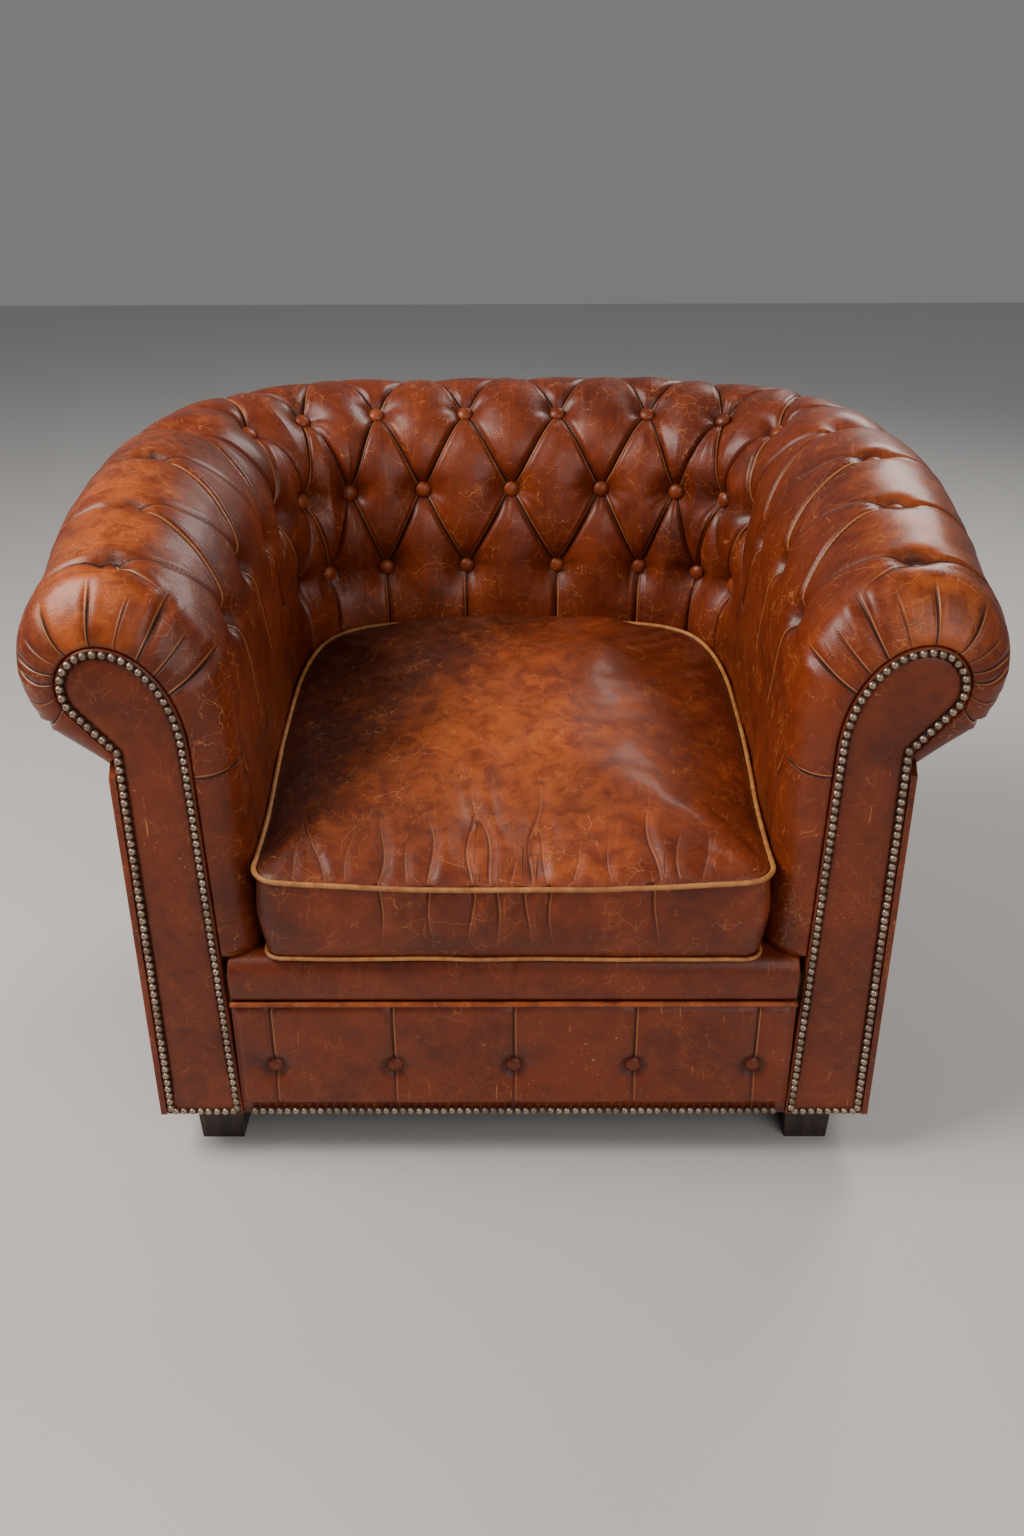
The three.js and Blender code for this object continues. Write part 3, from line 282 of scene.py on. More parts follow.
def pipingLeather():
    paint = Paint("pipingLeather")
    mottle = paint.noise(90.0, 4.0, 0.6)
    colour = paint.blend(paint.between(mottle, 0.35, 0.65), (0.38, 0.135, 0.032), (0.52, 0.22, 0.060))
    dirt = paint.between(paint.noise(9.0, 3.0), 0.45, 0.70)
    colour = paint.blend(dirt * 0.55, colour, (0.16, 0.042, 0.012))
    relief = paint.bump(paint.noise(420.0, 3.0), 0.4, 0.0005)
    return paint.finish({"Base Color": colour, "Roughness": 0.42 + mottle * 0.15, "Normal": relief})


def nailBronze():
    paint = Paint("nailBronze")
    mottle = paint.noise(260.0, 4.0, 0.6)
    tarnish = paint.between(paint.noise(35.0, 3.0), 0.4, 0.65)
    colour = paint.blend(mottle, (0.24, 0.175, 0.125), (0.52, 0.41, 0.31))
    colour = paint.blend(tarnish * 0.6, colour, (0.12, 0.075, 0.048))
    relief = paint.bump(paint.noise(700.0, 2.0), 0.5, 0.0006)
    return paint.finish({"Base Color": colour, "Roughness": 0.30 + tarnish * 0.20, "Metallic": 0.90,
                         "Normal": relief})


def wood(name, pale, dark, grainAlong, gloss):
    paint = Paint(name)
    scale = [90.0, 90.0, 90.0]
    scale[grainAlong] = 6.0
    grain = paint.noise(1.0, 5.0, 0.65, place=paint.stretched(tuple(scale)), distortion=0.4)
    colour = paint.blend(paint.between(grain, 0.35, 0.65), dark, pale)
    scuff = paint.between(paint.noise(70.0, 4.0), 0.62, 0.72)
    colour = paint.blend(scuff * 0.5, colour, tuple(min(1.0, 1.8 * part + 0.03) for part in pale))
    return paint.finish({"Base Color": colour, "Roughness": gloss + grain * 0.15,
                         "Normal": paint.bump(grain, 0.4, 0.0006)})


def cloth(name, colour, threads):
    paint = Paint(name)
    along = paint.node("ShaderNodeTexWave", {"bands_direction": "X"},
                       {"Vector": paint.place, "Scale": threads, "Distortion": 0.6})
    across = paint.node("ShaderNodeTexWave", {"bands_direction": "Y"},
                        {"Vector": paint.place, "Scale": threads, "Distortion": 0.6})
    weave = along * across
    tint = paint.blend(weave, tuple(part * 0.5 for part in colour), colour)
    return paint.finish({"Base Color": tint, "Roughness": 0.92, "Normal": paint.bump(weave, 0.5, 0.0006)})


def springSteel():
    paint = Paint("springSteel")
    mottle = paint.noise(80.0, 4.0)
    colour = paint.blend(paint.between(mottle, 0.5, 0.7), (0.34, 0.34, 0.35), (0.20, 0.09, 0.04))
    return paint.finish({"Base Color": colour, "Roughness": 0.35 + mottle * 0.3, "Metallic": 0.9})


coverHide = leather("coverHide", folded=True, streaky=True)
upholstery = leather("upholsteryLeather")
seatLeather = leather("seatLeather", wearAt=0.10, paintedShadow=cushionPaintedShadow, veins=0.8, folded=True, dullness=0.07)
borderLeather = leather("borderLeather", wearAt=-0.10, veins=0.45, scuffs=1.0, folded=True)
piping = pipingLeather()
bronze = nailBronze()
print("finishes made")


# Making pieces
def smooth(low, high, value):
    share = np.clip((value - low) / (high - low), 0, 1)
    return share * share * (3 - 2 * share)


def bell(distance, reach, power=2):
    return np.exp(-(distance / reach) ** power)


def mix(first, second, share):
    return first + (second - first) * share


def addPiece(name, form, material, nodes=(), sharpAngle=None):
    bmesh.ops.recalc_face_normals(form, faces=form.faces)
    mesh = bpy.data.meshes.new(name)
    form.to_mesh(mesh)
    form.free()
    mesh.materials.append(material)
    mesh.polygons.foreach_set("use_smooth", [True] * len(mesh.polygons))
    if sharpAngle:
        mesh.set_sharp_from_angle(angle=math.radians(sharpAngle))
    piece = inScene(name, mesh)
    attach(piece, "root")
    if nodes:
        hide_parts(*nodes)
    return piece


# Gives every corner one wear value; on the lip welt it stands for a painted highlight
def wearAndSheenEvenly(form, amount):
    wearAndSheen = form.verts.layers.float.new("wearAndSheen")
    for vert in form.verts:
        vert[wearAndSheen] = amount


# A grid whose corner (i, j) goes to places[i, j]; marks are named values for each corner
def sheetForm(places, marks=None):
    columns, rows = places.shape[:2]
    form = bmesh.new()
    bmesh.ops.create_grid(form, x_segments=columns - 1, y_segments=rows - 1, size=1)
    layers = {name: form.verts.layers.float.new(name) for name in (marks or {})}
    for vert in form.verts:
        i = round((vert.co.x + 1) / 2 * (columns - 1))
        j = round((vert.co.y + 1) / 2 * (rows - 1))
        vert.co = places[i, j]
        for name, layer in layers.items():
            vert[layer] = marks[name][i, j]
    return form


# Distance from a fold that leaves no mark
unmarked = 0.02


# Places and marks of a front and a plain back, led round to the start again
def closedRound(front, back, named, backMark=unmarked):
    places = np.concatenate([front, back, front[:, :1]], axis=1)
    plain = np.full(back.shape[:2], backMark)
    marks = {name: np.concatenate([mark, plain, mark[:, :1]], axis=1) for name, mark in named.items()}
    return places, marks


def closeForm(form, reach=1e-5):
    bmesh.ops.remove_doubles(form, verts=form.verts, dist=reach)
    bmesh.ops.dissolve_degenerate(form, edges=form.edges, dist=reach)
    loose = [edge for edge in form.edges if edge.is_boundary]
    bmesh.ops.holes_fill(form, edges=loose, sides=0)


# The line of the tub, shared by cover, panels, nails and cushion. Along it, u counts button spaces from the
# middle of the back; across it, n runs outwards and z upwards from the centre of the roll
tub = {
    "rollCentreX": 0.405, "armFlare": 0.007, "armStraight": 0.290, "backRound": 0.409, "squareness": 3.35,
    "rollHeight": 0.5976, "backRise": 0.088, "riseStart": 0.49, "risePower": 2.55,
    "bottom": 0.063, "deckTop": 0.283,
    "coreRadius": 0.038, "reach": 0.0745, "shoulderDrop": 0.109, "pad": 0.045, "lining": 0.010,
    "lean": 0.024, "coreTurn": 38.0, "padTurn": 52.0, "neckInset": 0.009, "neckDrop": 0.068,
    "outsideReach": 0.006, "skirtDrop": 0.095, "curl": 0.040, "coreLevel": 0.039,
    "spaces": 8,
}
shoulderZ = tub["coreRadius"] - tub["shoulderDrop"]


def planLine():
    steps = 601
    turn = np.linspace(0, math.pi / 2, steps)
    power = 2 / tub["squareness"]
    x = (tub["rollCentreX"] + tub["armFlare"]) * np.sin(turn) ** power
    y = tub["armStraight"] + tub["backRound"] * np.abs(np.cos(turn)) ** power
    armY = np.linspace(tub["armStraight"], 0, steps)[1:]
    armX = tub["rollCentreX"] + tub["armFlare"] * smooth(tub["curl"], tub["armStraight"], armY)
    x, y = np.concatenate([x, armX]), np.concatenate([y, armY])
    length = np.concatenate([[0], np.cumsum(np.hypot(np.diff(x), np.diff(y)))])
    return x, y, length


planX, planY, planLength = planLine()
halfLength = planLength[-1]
spacing = halfLength / tub["spaces"]


def spacesBack(distance):
    return tub["spaces"] - distance / spacing


# Roll centre, outward direction and the two heights, of pad and of core, at u
def rollFrame(u):
    u = np.asarray(u, float)
    side = np.where(u < 0, -1.0, 1.0)
    along = np.minimum(np.abs(u) * spacing, halfLength)
    x, y = np.interp(along, planLength, planX), np.interp(along, planLength, planY)
    probe = 0.002
    ahead, behind = np.minimum(along + probe, halfLength), np.maximum(along - probe, 0)
    dx = np.interp(ahead, planLength, planX) - np.interp(behind, planLength, planX)
    dy = np.interp(ahead, planLength, planY) - np.interp(behind, planLength, planY)
    size = np.hypot(dx, dy)
    outX, outY = -dy / size, dx / size
    middle = along < 1e-5
    outX, outY = np.where(middle, 0, outX), np.where(middle, 1, outY)
    front = along > halfLength - tub["curl"]
    outX, outY = np.where(front, 1, outX), np.where(front, 0, outY)
    fall = np.clip((along / halfLength - tub["riseStart"]) / (1 - tub["riseStart"]), 0, 1) ** tub["risePower"]
    z = tub["rollHeight"] + tub["backRise"] * (1 - fall)
    levelShare = smooth(tub["spaces"] - 1, spacesBack(tub["coreLevel"]), np.abs(u))
    return side * x, y + frontY, side * outX, outY, z, mix(z, tub["rollHeight"], levelShare)


def placed(u, n, z, onCore=False):
    x, y, outX, outY, padZ, coreZ = rollFrame(u)
    return np.stack([x + outX * n, y + outY * n, (coreZ if onCore else padZ) + z], axis=-1)


# Section of the core, grown by some width: wall 0 to 1, shoulder 1 to 2, roll 2 to 3, underside 3 to 4
def coreAt(w, grow, wall):
    w = np.asarray(w, float)
    drop = np.clip(1 - w, 0, 1) * wall
    turn = np.clip(w - 1, 0, 1) * math.pi / 2
    n = -(tub["reach"] + grow) * np.cos(turn) - tub["lean"] * drop
    z = shoulderZ + (tub["shoulderDrop"] + grow) * np.sin(turn) - drop
    radius = tub["coreRadius"] + grow
    roll = np.radians(90 - np.clip(w - 2, 0, 1) * (90 + tub["coreTurn"]))
    n, z = np.where(w > 2, radius * np.cos(roll), n), np.where(w > 2, radius * np.sin(roll), z)
    tip = -math.radians(tub["coreTurn"])
    tipN, tipZ = tub["coreRadius"] * math.cos(tip), tub["coreRadius"] * math.sin(tip)
    alongN, alongZ = -tub["neckInset"] - tipN, -tub["neckDrop"] - tipZ
    size = math.hypot(alongN, alongZ)
    alongN, alongZ = alongN / size, alongZ / size
    startN, startZ = tipN - alongZ * grow, tipZ + alongN * grow
    reach = (-tub["neckInset"] + grow - startN) / alongN
    endN, endZ = startN + alongN * reach, startZ + alongZ * reach
    share = np.clip(w - 3, 0, 1)
    n = np.where(w > 3, mix(radius * math.cos(tip), endN, share), n)
    return n, np.where(w > 3, mix(radius * math.sin(tip), endZ, share), z)


def padAt(w, wall):
    w = np.asarray(w, float)
    n, z = coreAt(np.minimum(w, 2), tub["pad"], wall)
    radius = tub["coreRadius"] + tub["pad"]
    roll = np.radians(90 - np.clip(w - 2, 0, 1) * (90 + tub["padTurn"]))
    share = np.clip(w - 3, 0, 1)
    rollN = mix(radius * np.cos(roll), tub["outsideReach"], share)
    rollZ = mix(radius * np.sin(roll), -tub["skirtDrop"], share)
    return np.where(w > 2, rollN, n), np.where(w > 2, rollZ, z)


stepsAPart = 300
arcStations = np.linspace(1, 4, 3 * stepsAPart + 1)
arcN, arcZ = padAt(arcStations, 1.0)
arcLengths = np.concatenate([[0], np.cumsum(np.hypot(np.diff(arcN), np.diff(arcZ)))])
crestArc = arcLengths[stepsAPart]
rollEndArc = arcLengths[2 * stepsAPart] - crestArc
skirtArc = arcLengths[-1] - crestArc


# Station of the section at an arc length measured outwards from the crest
def stationAt(arc, wall):
    wanted = arc + crestArc
    return np.where(wanted <= 0, np.maximum(0, 1 + wanted / wall), np.interp(wanted, arcLengths, arcStations))


# Buttoned cover of back and arms. Up its section v runs over the wall to the lower buttons at 1, the middle
# ones at 2 and the upper ones at 3, then over the roll to its end at 5 and the skirt to 6
cover = {
    "cellSteps": 28, "wallRows": 18, "rollRows": 28, "skirtRows": 8, "backingRows": 10, "curlSteps": 18,
    "reachSteps": 8, "curlEnd": 87, "tuckedAt": (0.0025, 0.006), "facingThickness": 0.0123,
    # Of two values, the first is for the back and the second for the arms
    "upper": (0.067, 0.009), "upperShifts": (0.43, 0.6),
    "middle": (0.190, 0.155), "middleShifts": (0.6, 0.82),
    "lower": 0.300, "rearRow": 0.122, "lowerButtons": 4, "deckGap": 0.0003,
    # Buttons drift along the tub, by spaces
    "slideAt": (0, 1, 1.5, 2.5, 3.5, 4.5, 5.5, 6.5, 7.5, 7.62, 8),
    "slideBy": (0, 0.03, 0.06, 0.08, 0.09, 0.13, 0.18, 0.14, -0.02, 0, 0),
    "slideMiddle": -0.03,
    "upperDimple": (0.023, 0.0105), "middleDimple": (0.027, 0.0165), "lowerDimple": 0.026,
    "cupRim": 0.0085, "cupFall": (0.017, 0.0075), "cupPower": 1.2,
    "broad": (0.0075, 0.0006), "broadPower": 3.2,
    "crease": (0.0060, 0.0040), "creaseReach": 0.0030, "creasePower": 1.3, "creaseAtButton": 0.022,
    "pleat": 0.0045, "tuckLip": 0.0014, "tuckLipPlace": 0.0068, "tuckLipReach": 0.003, "foldScale": 0.056,
    "buttonRadius": 0.0108, "buttonHeight": 0.0062, "buttonSunk": 0.0005, "buttonLift": 0.001,
    "lumps": 0.0024, "lumpScale": 9.0, "smallLumps": 0.0008, "smallLumpScale": 34.0,
    "wrinklesARound": 8, "wrinkle": (0.0024, 0.0012), "wrinkleReach": 0.018,
    "armPuff": 0.0030, "frontPuff": 0.0045, "frontPuffPlace": 0.05, "frontPuffReach": 0.045,
    "tuckedEdge": 0.0065, "pitRim": 0.008, "pitReach": 0.0045,
}

# Strengths of the folds: the two values between which each changes, most of them in button spaces along the
# tub, and how much it loses there. "pleats" has a strength for the back and one for the arms
folds = {
    "armBegins": (4.2, 5.2), "backEnds": (4.0, 4.02), "pleatsFade": (3.7, 4.4), "skirtFades": (4.6, 6),
    "rearSide": (0.56, 0.40), "rearLoss": 0.6, "lowerLoss": 0.35, "skirtLoss": 0.75,
    "pleats": (0.8, 0.35), "shortFades": (0.1, 0.75), "shortLoss": 0.75, "longLoss": 0.25,
    "behindCrest": 0.55, "endOverRoll": (0.42, 0.30), "endInside": (0.5, 0.1), "endBetween": (0.46, 0.30),
}

# For the upper buttons of the back: on which side the long fold over the crest leaves, by button place
longFoldSide = {-3.5: 1, -2.5: -1, -1.5: 1, -0.5: -1, 0.5: -1, 1.5: 1, 2.5: -1, 3.5: -1}

# Gathers round each arm front: station round the roll, depth, half width and length back from the facing
gathers = [
    (0.89, 0.0038, 0.008, 0.060), (1.378, 0.0060, 0.010, 0.052), (1.667, 0.0095, 0.012, 0.055),
    (1.84, 0.0020, 0.007, 0.030), (2.028, 0.0062, 0.008, 0.036), (2.289, 0.0055, 0.008, 0.034),
    (2.42, 0.0020, 0.007, 0.026), (2.535, 0.0050, 0.007, 0.034), (2.634, 0.0056, 0.007, 0.036),
    (2.78, 0.0022, 0.007, 0.030), (2.923, 0.0062, 0.008, 0.044), (1.52, 0.0028, 0.007, 0.032),
]


def wallAt(u, onCore=False):
    return rollFrame(u)[5 if onCore else 4] + shoulderZ - tub["deckTop"] - cover["deckGap"]


def armShare(u):
    return smooth(*folds["armBegins"], np.abs(u))


def rowArcs(u):
    front = np.abs(u) / tub["spaces"]
    upper = -mix(*cover["upper"], smooth(*cover["upperShifts"], front))
    middle = -mix(*cover["middle"], smooth(*cover["middleShifts"], front))
    return upper, middle


def arcAtRow(u, v):
    upper, middle = rowArcs(u)
    flat = np.zeros_like(upper)
    stops = [-crestArc - wallAt(u), flat - cover["lower"], middle, upper, upper + cover["rearRow"],
             flat + rollEndArc, flat + skirtArc]
    arc = stops[0]
    for cell in range(6):
        share = np.clip(v - cell, 0, 1)
        arc = arc + (stops[cell + 1] - stops[cell]) * share
    return arc


# 1, falling to 0 between two distances, in spaces, from the arm front
def untilFront(side, stops):
    return 1 - smooth(tub["spaces"] - stops[0], tub["spaces"] - stops[1], side)


# Where the folds lie: ring is 1 on a fold and 0 in the middle of a diamond, strength is how much of a fold is
# there, onArm is 0 on the back and 1 on the arms, and lipSide is the side on which the leather laps over
def foldsAt(u, v):
    side = np.abs(u)
    lean = 2 * np.abs(side - np.round(side))
    part = side - np.floor(side)
    onArm = armShare(u)
    row = np.abs(v - 2)
    inside = row < lean
    p, q = np.where(inside, 1 - lean, lean), np.where(inside, row, 1 - row)
    ring = np.maximum(p + q, 1e-6)
    # On the arms the fold to the rear button of the middle row is the weaker one
    weaker = 1 - folds["rearLoss"] * onArm * smooth(*folds["rearSide"], part)
    strength = np.where((v > 2) & (v <= 3), weaker, 1.0)
    strength = np.where(v < 2, 1 - folds["lowerLoss"] * onArm, strength)
    ring = np.where(v < 1, lean, ring)
    pleats = mix(*folds["pleats"], smooth(*folds["pleatsFade"], side))
    strength = np.where(v < 1, pleats, strength)
    # Over the roll: straight pleats on the arms, folds that part and meet again on the back
    up = np.clip(v - 3, 0, 1)
    partedRing = np.where(lean + up > 1, 2 - lean - up, lean + up)
    nearest = np.sign(u) * (np.floor(side) + 0.5)
    longSide = np.ones_like(u)
    for place, way in longFoldSide.items():
        longSide = np.where(nearest == place, np.where(np.sign(u - place) == way, 1.0, 0.0), longSide)
    short = 0.9 - folds["shortLoss"] * smooth(*folds["shortFades"], up)
    parted = np.where(v > 4, folds["behindCrest"], mix(short, 1.0 - folds["longLoss"] * up, longSide))
    onBack = 1 - smooth(*folds["backEnds"], side)
    over = v > 3
    ring = np.where(over, mix(lean, partedRing, onBack), ring)
    fading = 1 - folds["skirtLoss"] * smooth(*folds["skirtFades"], v)
    strength = np.where(over, mix(1.0, parted, onBack) * fading, strength)
    fade = np.where(over, untilFront(side, folds["endOverRoll"]), untilFront(side, folds["endInside"]))
    # No fold runs forward of the last buttons
    fade = fade * np.where((v <= 3) & (v > 1), untilFront(side, folds["endBetween"]), 1.0)
    lipSide = np.where(inside, 1.0, -1.0)
    lipSide = np.where((v < 1) | (over & (onBack < 0.5)), np.where(part > 0.5, 1.0, -1.0), lipSide)
    lipSide = np.where(over & (onBack >= 0.5), np.where(lean + up < 1, 1.0, -1.0), lipSide)
    return ring, strength * fade, onArm, lipSide


def slid(u):
    drift = np.interp(np.abs(u), cover["slideAt"], cover["slideBy"])
    return u + np.sign(u) * drift + cover["slideMiddle"] * np.clip(1 - np.abs(u) / 4, 0, 1)


# Station of the section, place on the smooth pad, and the direction into it
def coverBase(u, v):
    wall = wallAt(u)
    w = stationAt(arcAtRow(u, v), wall)
    n, z = padAt(w, wall)
    nA, zA = padAt(np.minimum(w + 0.02, 4), wall)
    nB, zB = padAt(np.maximum(w - 0.02, 0), wall)
    size = np.hypot(nA - nB, zA - zB)
    return w, n, z, (zA - zB) / size, -(nA - nB) / size


def dimpleAt(u, v):
    onArm = armShare(u)
    upper = mix(*cover["upperDimple"], onArm)
    middle = mix(*cover["middleDimple"], onArm)
    return np.where(v > 2.5, upper, np.where(v > 1.5, middle, cover["lowerDimple"]))


def buttonPlaces():
    places = [(0.0, 2)]
    for i in range(tub["spaces"]):
        for side in (-1, 1):
            places.append((side * (i + 0.5), 3))
            if i < cover["lowerButtons"]:
                places.append((side * (i + 0.5), 1))
            if i > 0:
                places.append((side * i, 2))
    return places


buttons = buttonPlaces()
buttonU = np.array([place[0] for place in buttons], float)
buttonV = np.array([place[1] for place in buttons], float)
buttonSeat = placed(slid(buttonU), *coverBase(slid(buttonU), buttonV)[1:3])


# Columns of the cover, and how far each has turned in behind the facing
def coverColumns():
    steps = 2 * cover["cellSteps"]
    regular = np.arange(0, round((tub["spaces"] - 0.5) * steps) + 1) / steps
    start = spacesBack(tub["curl"])
    reachFront = np.linspace(tub["spaces"] - 0.5, start, cover["reachSteps"])[1:-1]
    turns = np.radians(np.linspace(0, cover["curlEnd"], cover["curlSteps"]))
    curled = spacesBack(tub["curl"] * (1 - np.sin(turns)))
    tucked = spacesBack(np.array([*cover["tuckedAt"], cover["facingThickness"]]))
    u = np.concatenate([regular, reachFront, curled, tucked])
    flat = np.zeros(len(regular) + len(reachFront))
    sunk = np.concatenate([flat, 1 - np.cos(turns), np.ones(len(tucked))])
    mirror = slice(None, 0, -1)
    return np.concatenate([-u[mirror], u]), np.concatenate([sunk[mirror], sunk])


def coverRows():
    steps = cover["cellSteps"]
    return np.concatenate([
        np.arange(cover["wallRows"]) / cover["wallRows"],
        1 + np.arange(3 * steps) / steps,
        4 + np.arange(cover["rollRows"]) / cover["rollRows"],
        5 + np.arange(cover["skirtRows"] + 1) / cover["skirtRows"],
    ])


# Strength near a fold only, because halfway to the next fold the sign of the distance turns
def nearFold(gap):
    return smooth(0.013, 0.007, np.abs(gap))


# Depth of the gathers, with a raised rim on either side, and the fold marks that go with them, from which the
# leather paints shade and highlights
def gatherMarks(w, u, sunk, wall):
    away = (tub["spaces"] - np.abs(u)) * spacing
    depth = np.zeros_like(w)
    nearest = np.full(w.shape, unmarked)
    strength = np.zeros_like(w)
    arcAStation = np.where(w < 1, wall, 0.19)
    for station, deep, half, length in gathers:
        bend = np.sin(station * 40) * away
        arc = (w - station - bend) * arcAStation
        run = smooth(length, length * 0.35, away) * (1 - 0.3 * smooth(0.8, 1.0, sunk))
        share = np.abs(arc) / half
        depth += deep * run * (bell(share, 0.38, 1.6) - 0.40 * bell(share - 0.95, 0.32))
        closer = np.abs(arc) < np.abs(nearest)
        nearest = np.where(closer, arc, nearest)
        strength = np.where(closer, run * min(1, deep / 0.0045), strength)
    return depth, nearest, strength * nearFold(nearest)


def lumpsAt(points, scale, seed):
    offset = Vector((seed * 7.3, seed * 3.1, seed * 5.7))
    return np.array([noise.noise(Vector(point) * scale + offset) for point in points.reshape(-1, 3)]
                    ).reshape(points.shape[:-1])


# Near a fold each quad is cut along the fold, so that the crease stays a clean line
def splitAlongFolds(form):
    gap = form.verts.layers.float["foldGap"]
    first, second = [], []
    for face in form.faces:
        if len(face.verts) == 4:
            a, b, c, d = (abs(vert[gap]) for vert in face.verts)
            if min(a, b, c, d) < 0.004 and abs(a + c - b - d) > 1e-5:
                (first if a + c < b + d else second).append(face)
    bmesh.ops.triangulate(form, faces=first, quad_method="FIXED")
    bmesh.ops.triangulate(form, faces=[face for face in second if face.is_valid], quad_method="ALTERNATE")


# Distance to the nearest button, and how far beside it and above it a place lies
def fromButton(base, u):
    distance = np.full(u.shape, 9.0)
    sideways, upwards = np.zeros(u.shape), np.zeros(u.shape)
    for seat, seatU in zip(buttonSeat, buttonU):
        here = np.linalg.norm(base - seat, axis=-1)
        closer = here < distance
        distance = np.where(closer, here, distance)
        sideways = np.where(closer, (u - seatU) * spacing, sideways)
        upwards = np.where(closer, base[..., 2] - seat[2], upwards)
    return distance, sideways, upwards


# How deep the leather is drawn in: towards the folds, in creases with one lip, and round the buttons in a cup
# with small wrinkles running out of it
def drawnIn(u, v, folding, gap, around):
    ring, strength, onArm, lipSide = folding
    distance, sideways, upwards = around
    topArm = onArm * (v > 2.5)
    across = np.minimum(np.abs(sideways), distance)
    along = np.sqrt(np.maximum(0, distance ** 2 - across ** 2))
    stretched = np.hypot(across * (1 + 0.35 * topArm), along * (1 - 0.30 * topArm))
    cup = bell(np.maximum(0, stretched - cover["cupRim"]), mix(*cover["cupFall"], onArm), cover["cupPower"])
    crease = np.where(v < 1, cover["pleat"], mix(*cover["crease"], onArm))
    crease = crease * (1 + (0.8 - 0.5 * onArm) * bell(distance, cover["creaseAtButton"], 1))
    depth = mix(*cover["broad"], onArm) * strength * np.clip(ring, 0, 1) ** cover["broadPower"]
    depth += crease * strength * bell(gap, cover["creaseReach"], cover["creasePower"])
    lip = cover["tuckLip"] * strength * bell(gap - cover["tuckLipPlace"], cover["tuckLipReach"])
    depth -= lip * np.where(lipSide > 0, 1.0, 0.45)
    depth += np.maximum(0, dimpleAt(u, v) - depth) * cup
    angle = np.arctan2(upwards, sideways)
    ripple = np.cos(cover["wrinklesARound"] * angle + 2.0 * np.sin(3 * angle + u * 5))
    ripple = ripple * smooth(0.010, 0.017, distance)
    depth += mix(*cover["wrinkle"], onArm) * ripple * bell(distance, cover["wrinkleReach"], 1)
    away = (tub["spaces"] - np.abs(u)) * spacing
    frontPuff = cover["frontPuff"] * bell(away - cover["frontPuffPlace"], cover["frontPuffReach"])
    return depth - (cover["armPuff"] * onArm + frontPuff * (v > 2))


def makeCover():
    columns, sunkAt = coverColumns()
    rows = coverRows()
    u, v = np.meshgrid(columns, rows, indexing="ij")
    sunk = np.meshgrid(sunkAt, rows, indexing="ij")[0]
    place = slid(u)
    w, n, z, inN, inZ = coverBase(place, v)
    base = placed(place, n, z)
    wall = wallAt(place)
    folding = foldsAt(u, v)
    ring, strength, lipSide = folding[0], folding[1], folding[3]
    gap = np.clip(1 - ring, 0, 1) * cover["foldScale"]
    around = fromButton(base, u)
    depth = drawnIn(u, v, folding, gap, around)
    gathered, tuckGap, tuck = gatherMarks(w, u, sunk, wall)
    depth = depth * (1 - sunk) + gathered * (1 - 0.6 * smooth(0.85, 1.0, sunk))
    lumps = (cover["lumps"] * lumpsAt(base, cover["lumpScale"], 1)
             + cover["smallLumps"] * lumpsAt(base, cover["smallLumpScale"], 2))
    depth += lumps * ((1 - smooth(0.6, 1.0, sunk)) * smooth(0.02, 0.5, v))
    # At the arm fronts the leather turns in until it lies on the core
    coreN, coreZ = coreAt(w, cover["tuckedEdge"], wallAt(place, True))
    outer = placed(place, n + inN * depth, z + inZ * depth)
    inner = placed(place, coreN, coreZ, True)
    points = outer + (inner - outer) * sunk[..., None]
    armTop = bell(w - 2.05, 0.38) * (0.30 + 0.60 * smooth(4.0, 6.3, np.abs(u)))
    # Marks for the leather: fold marks that it paints with shade and highlights, worn arm tops, and painted
    # shade in the cup round each button
    named = {
        "foldGap": gap * lipSide, "fold": strength * nearFold(gap), "tuckGap": tuckGap, "tuck": tuck,
        "wearAndSheen": np.clip(armTop + 0.16 * bell(ring, 0.75), 0, 1),
        "pitShade": 0.9 * bell(np.maximum(0, around[0] - cover["pitRim"]), cover["pitReach"], 1),
        "along": u * spacing,
        "around": np.interp(w, arcStations, arcLengths) - wall * np.clip(1 - w, 0, 1),
    }
    # The backing closes the body behind the leather
    back = np.linspace(4, 0, cover["backingRows"] + 1)
    reach = spacesBack(cover["facingThickness"])
    bu, bw = np.meshgrid(np.clip(place[:, 0], -reach, reach), back, indexing="ij")
    backN, backZ = coreAt(bw, -tub["lining"], wallAt(bu, True))
    behind = placed(bu, backN, backZ, True)
    form = sheetForm(*closedRound(points, behind, named))
    splitAlongFolds(form)
    closeForm(form)
    piece = addPiece("coverLeather", form, coverHide, ["buttoned_cover"])


makeCover()
print("cover made")


def coverButtonSeats():
    place = slid(buttonU)
    n, z, inN, inZ = coverBase(place, buttonV)[1:]
    deep = dimpleAt(buttonU, buttonV) - cover["buttonSunk"]
    probe = 0.01
    seats = placed(place, n + inN * deep, z + inZ * deep)
    tips = placed(place, n + inN * (deep - probe), z + inZ * (deep - probe))
    return seats, (tips - seats) / probe


def addButton(form, seat, outward, radius, height):
    turn = Vector(outward).to_track_quat("Z", "Y").to_matrix().to_4x4()
    size = Matrix.Diagonal((radius, radius, height, 1))
    matrix = Matrix.Translation(Vector(seat)) @ turn @ size
    bmesh.ops.create_uvsphere(form, u_segments=18, v_segments=10, radius=1, matrix=matrix)


def makeCoverButtons():
    form = bmesh.new()
    for seat, outward in zip(*coverButtonSeats()):
        seat = seat + outward * cover["buttonLift"]
        addButton(form, seat, outward, cover["buttonRadius"], cover["buttonHeight"])
    wearAndSheenEvenly(form, 0.55)
    addPiece("coverButtons", form, upholstery)


makeCoverButtons()
print("cover buttons made")

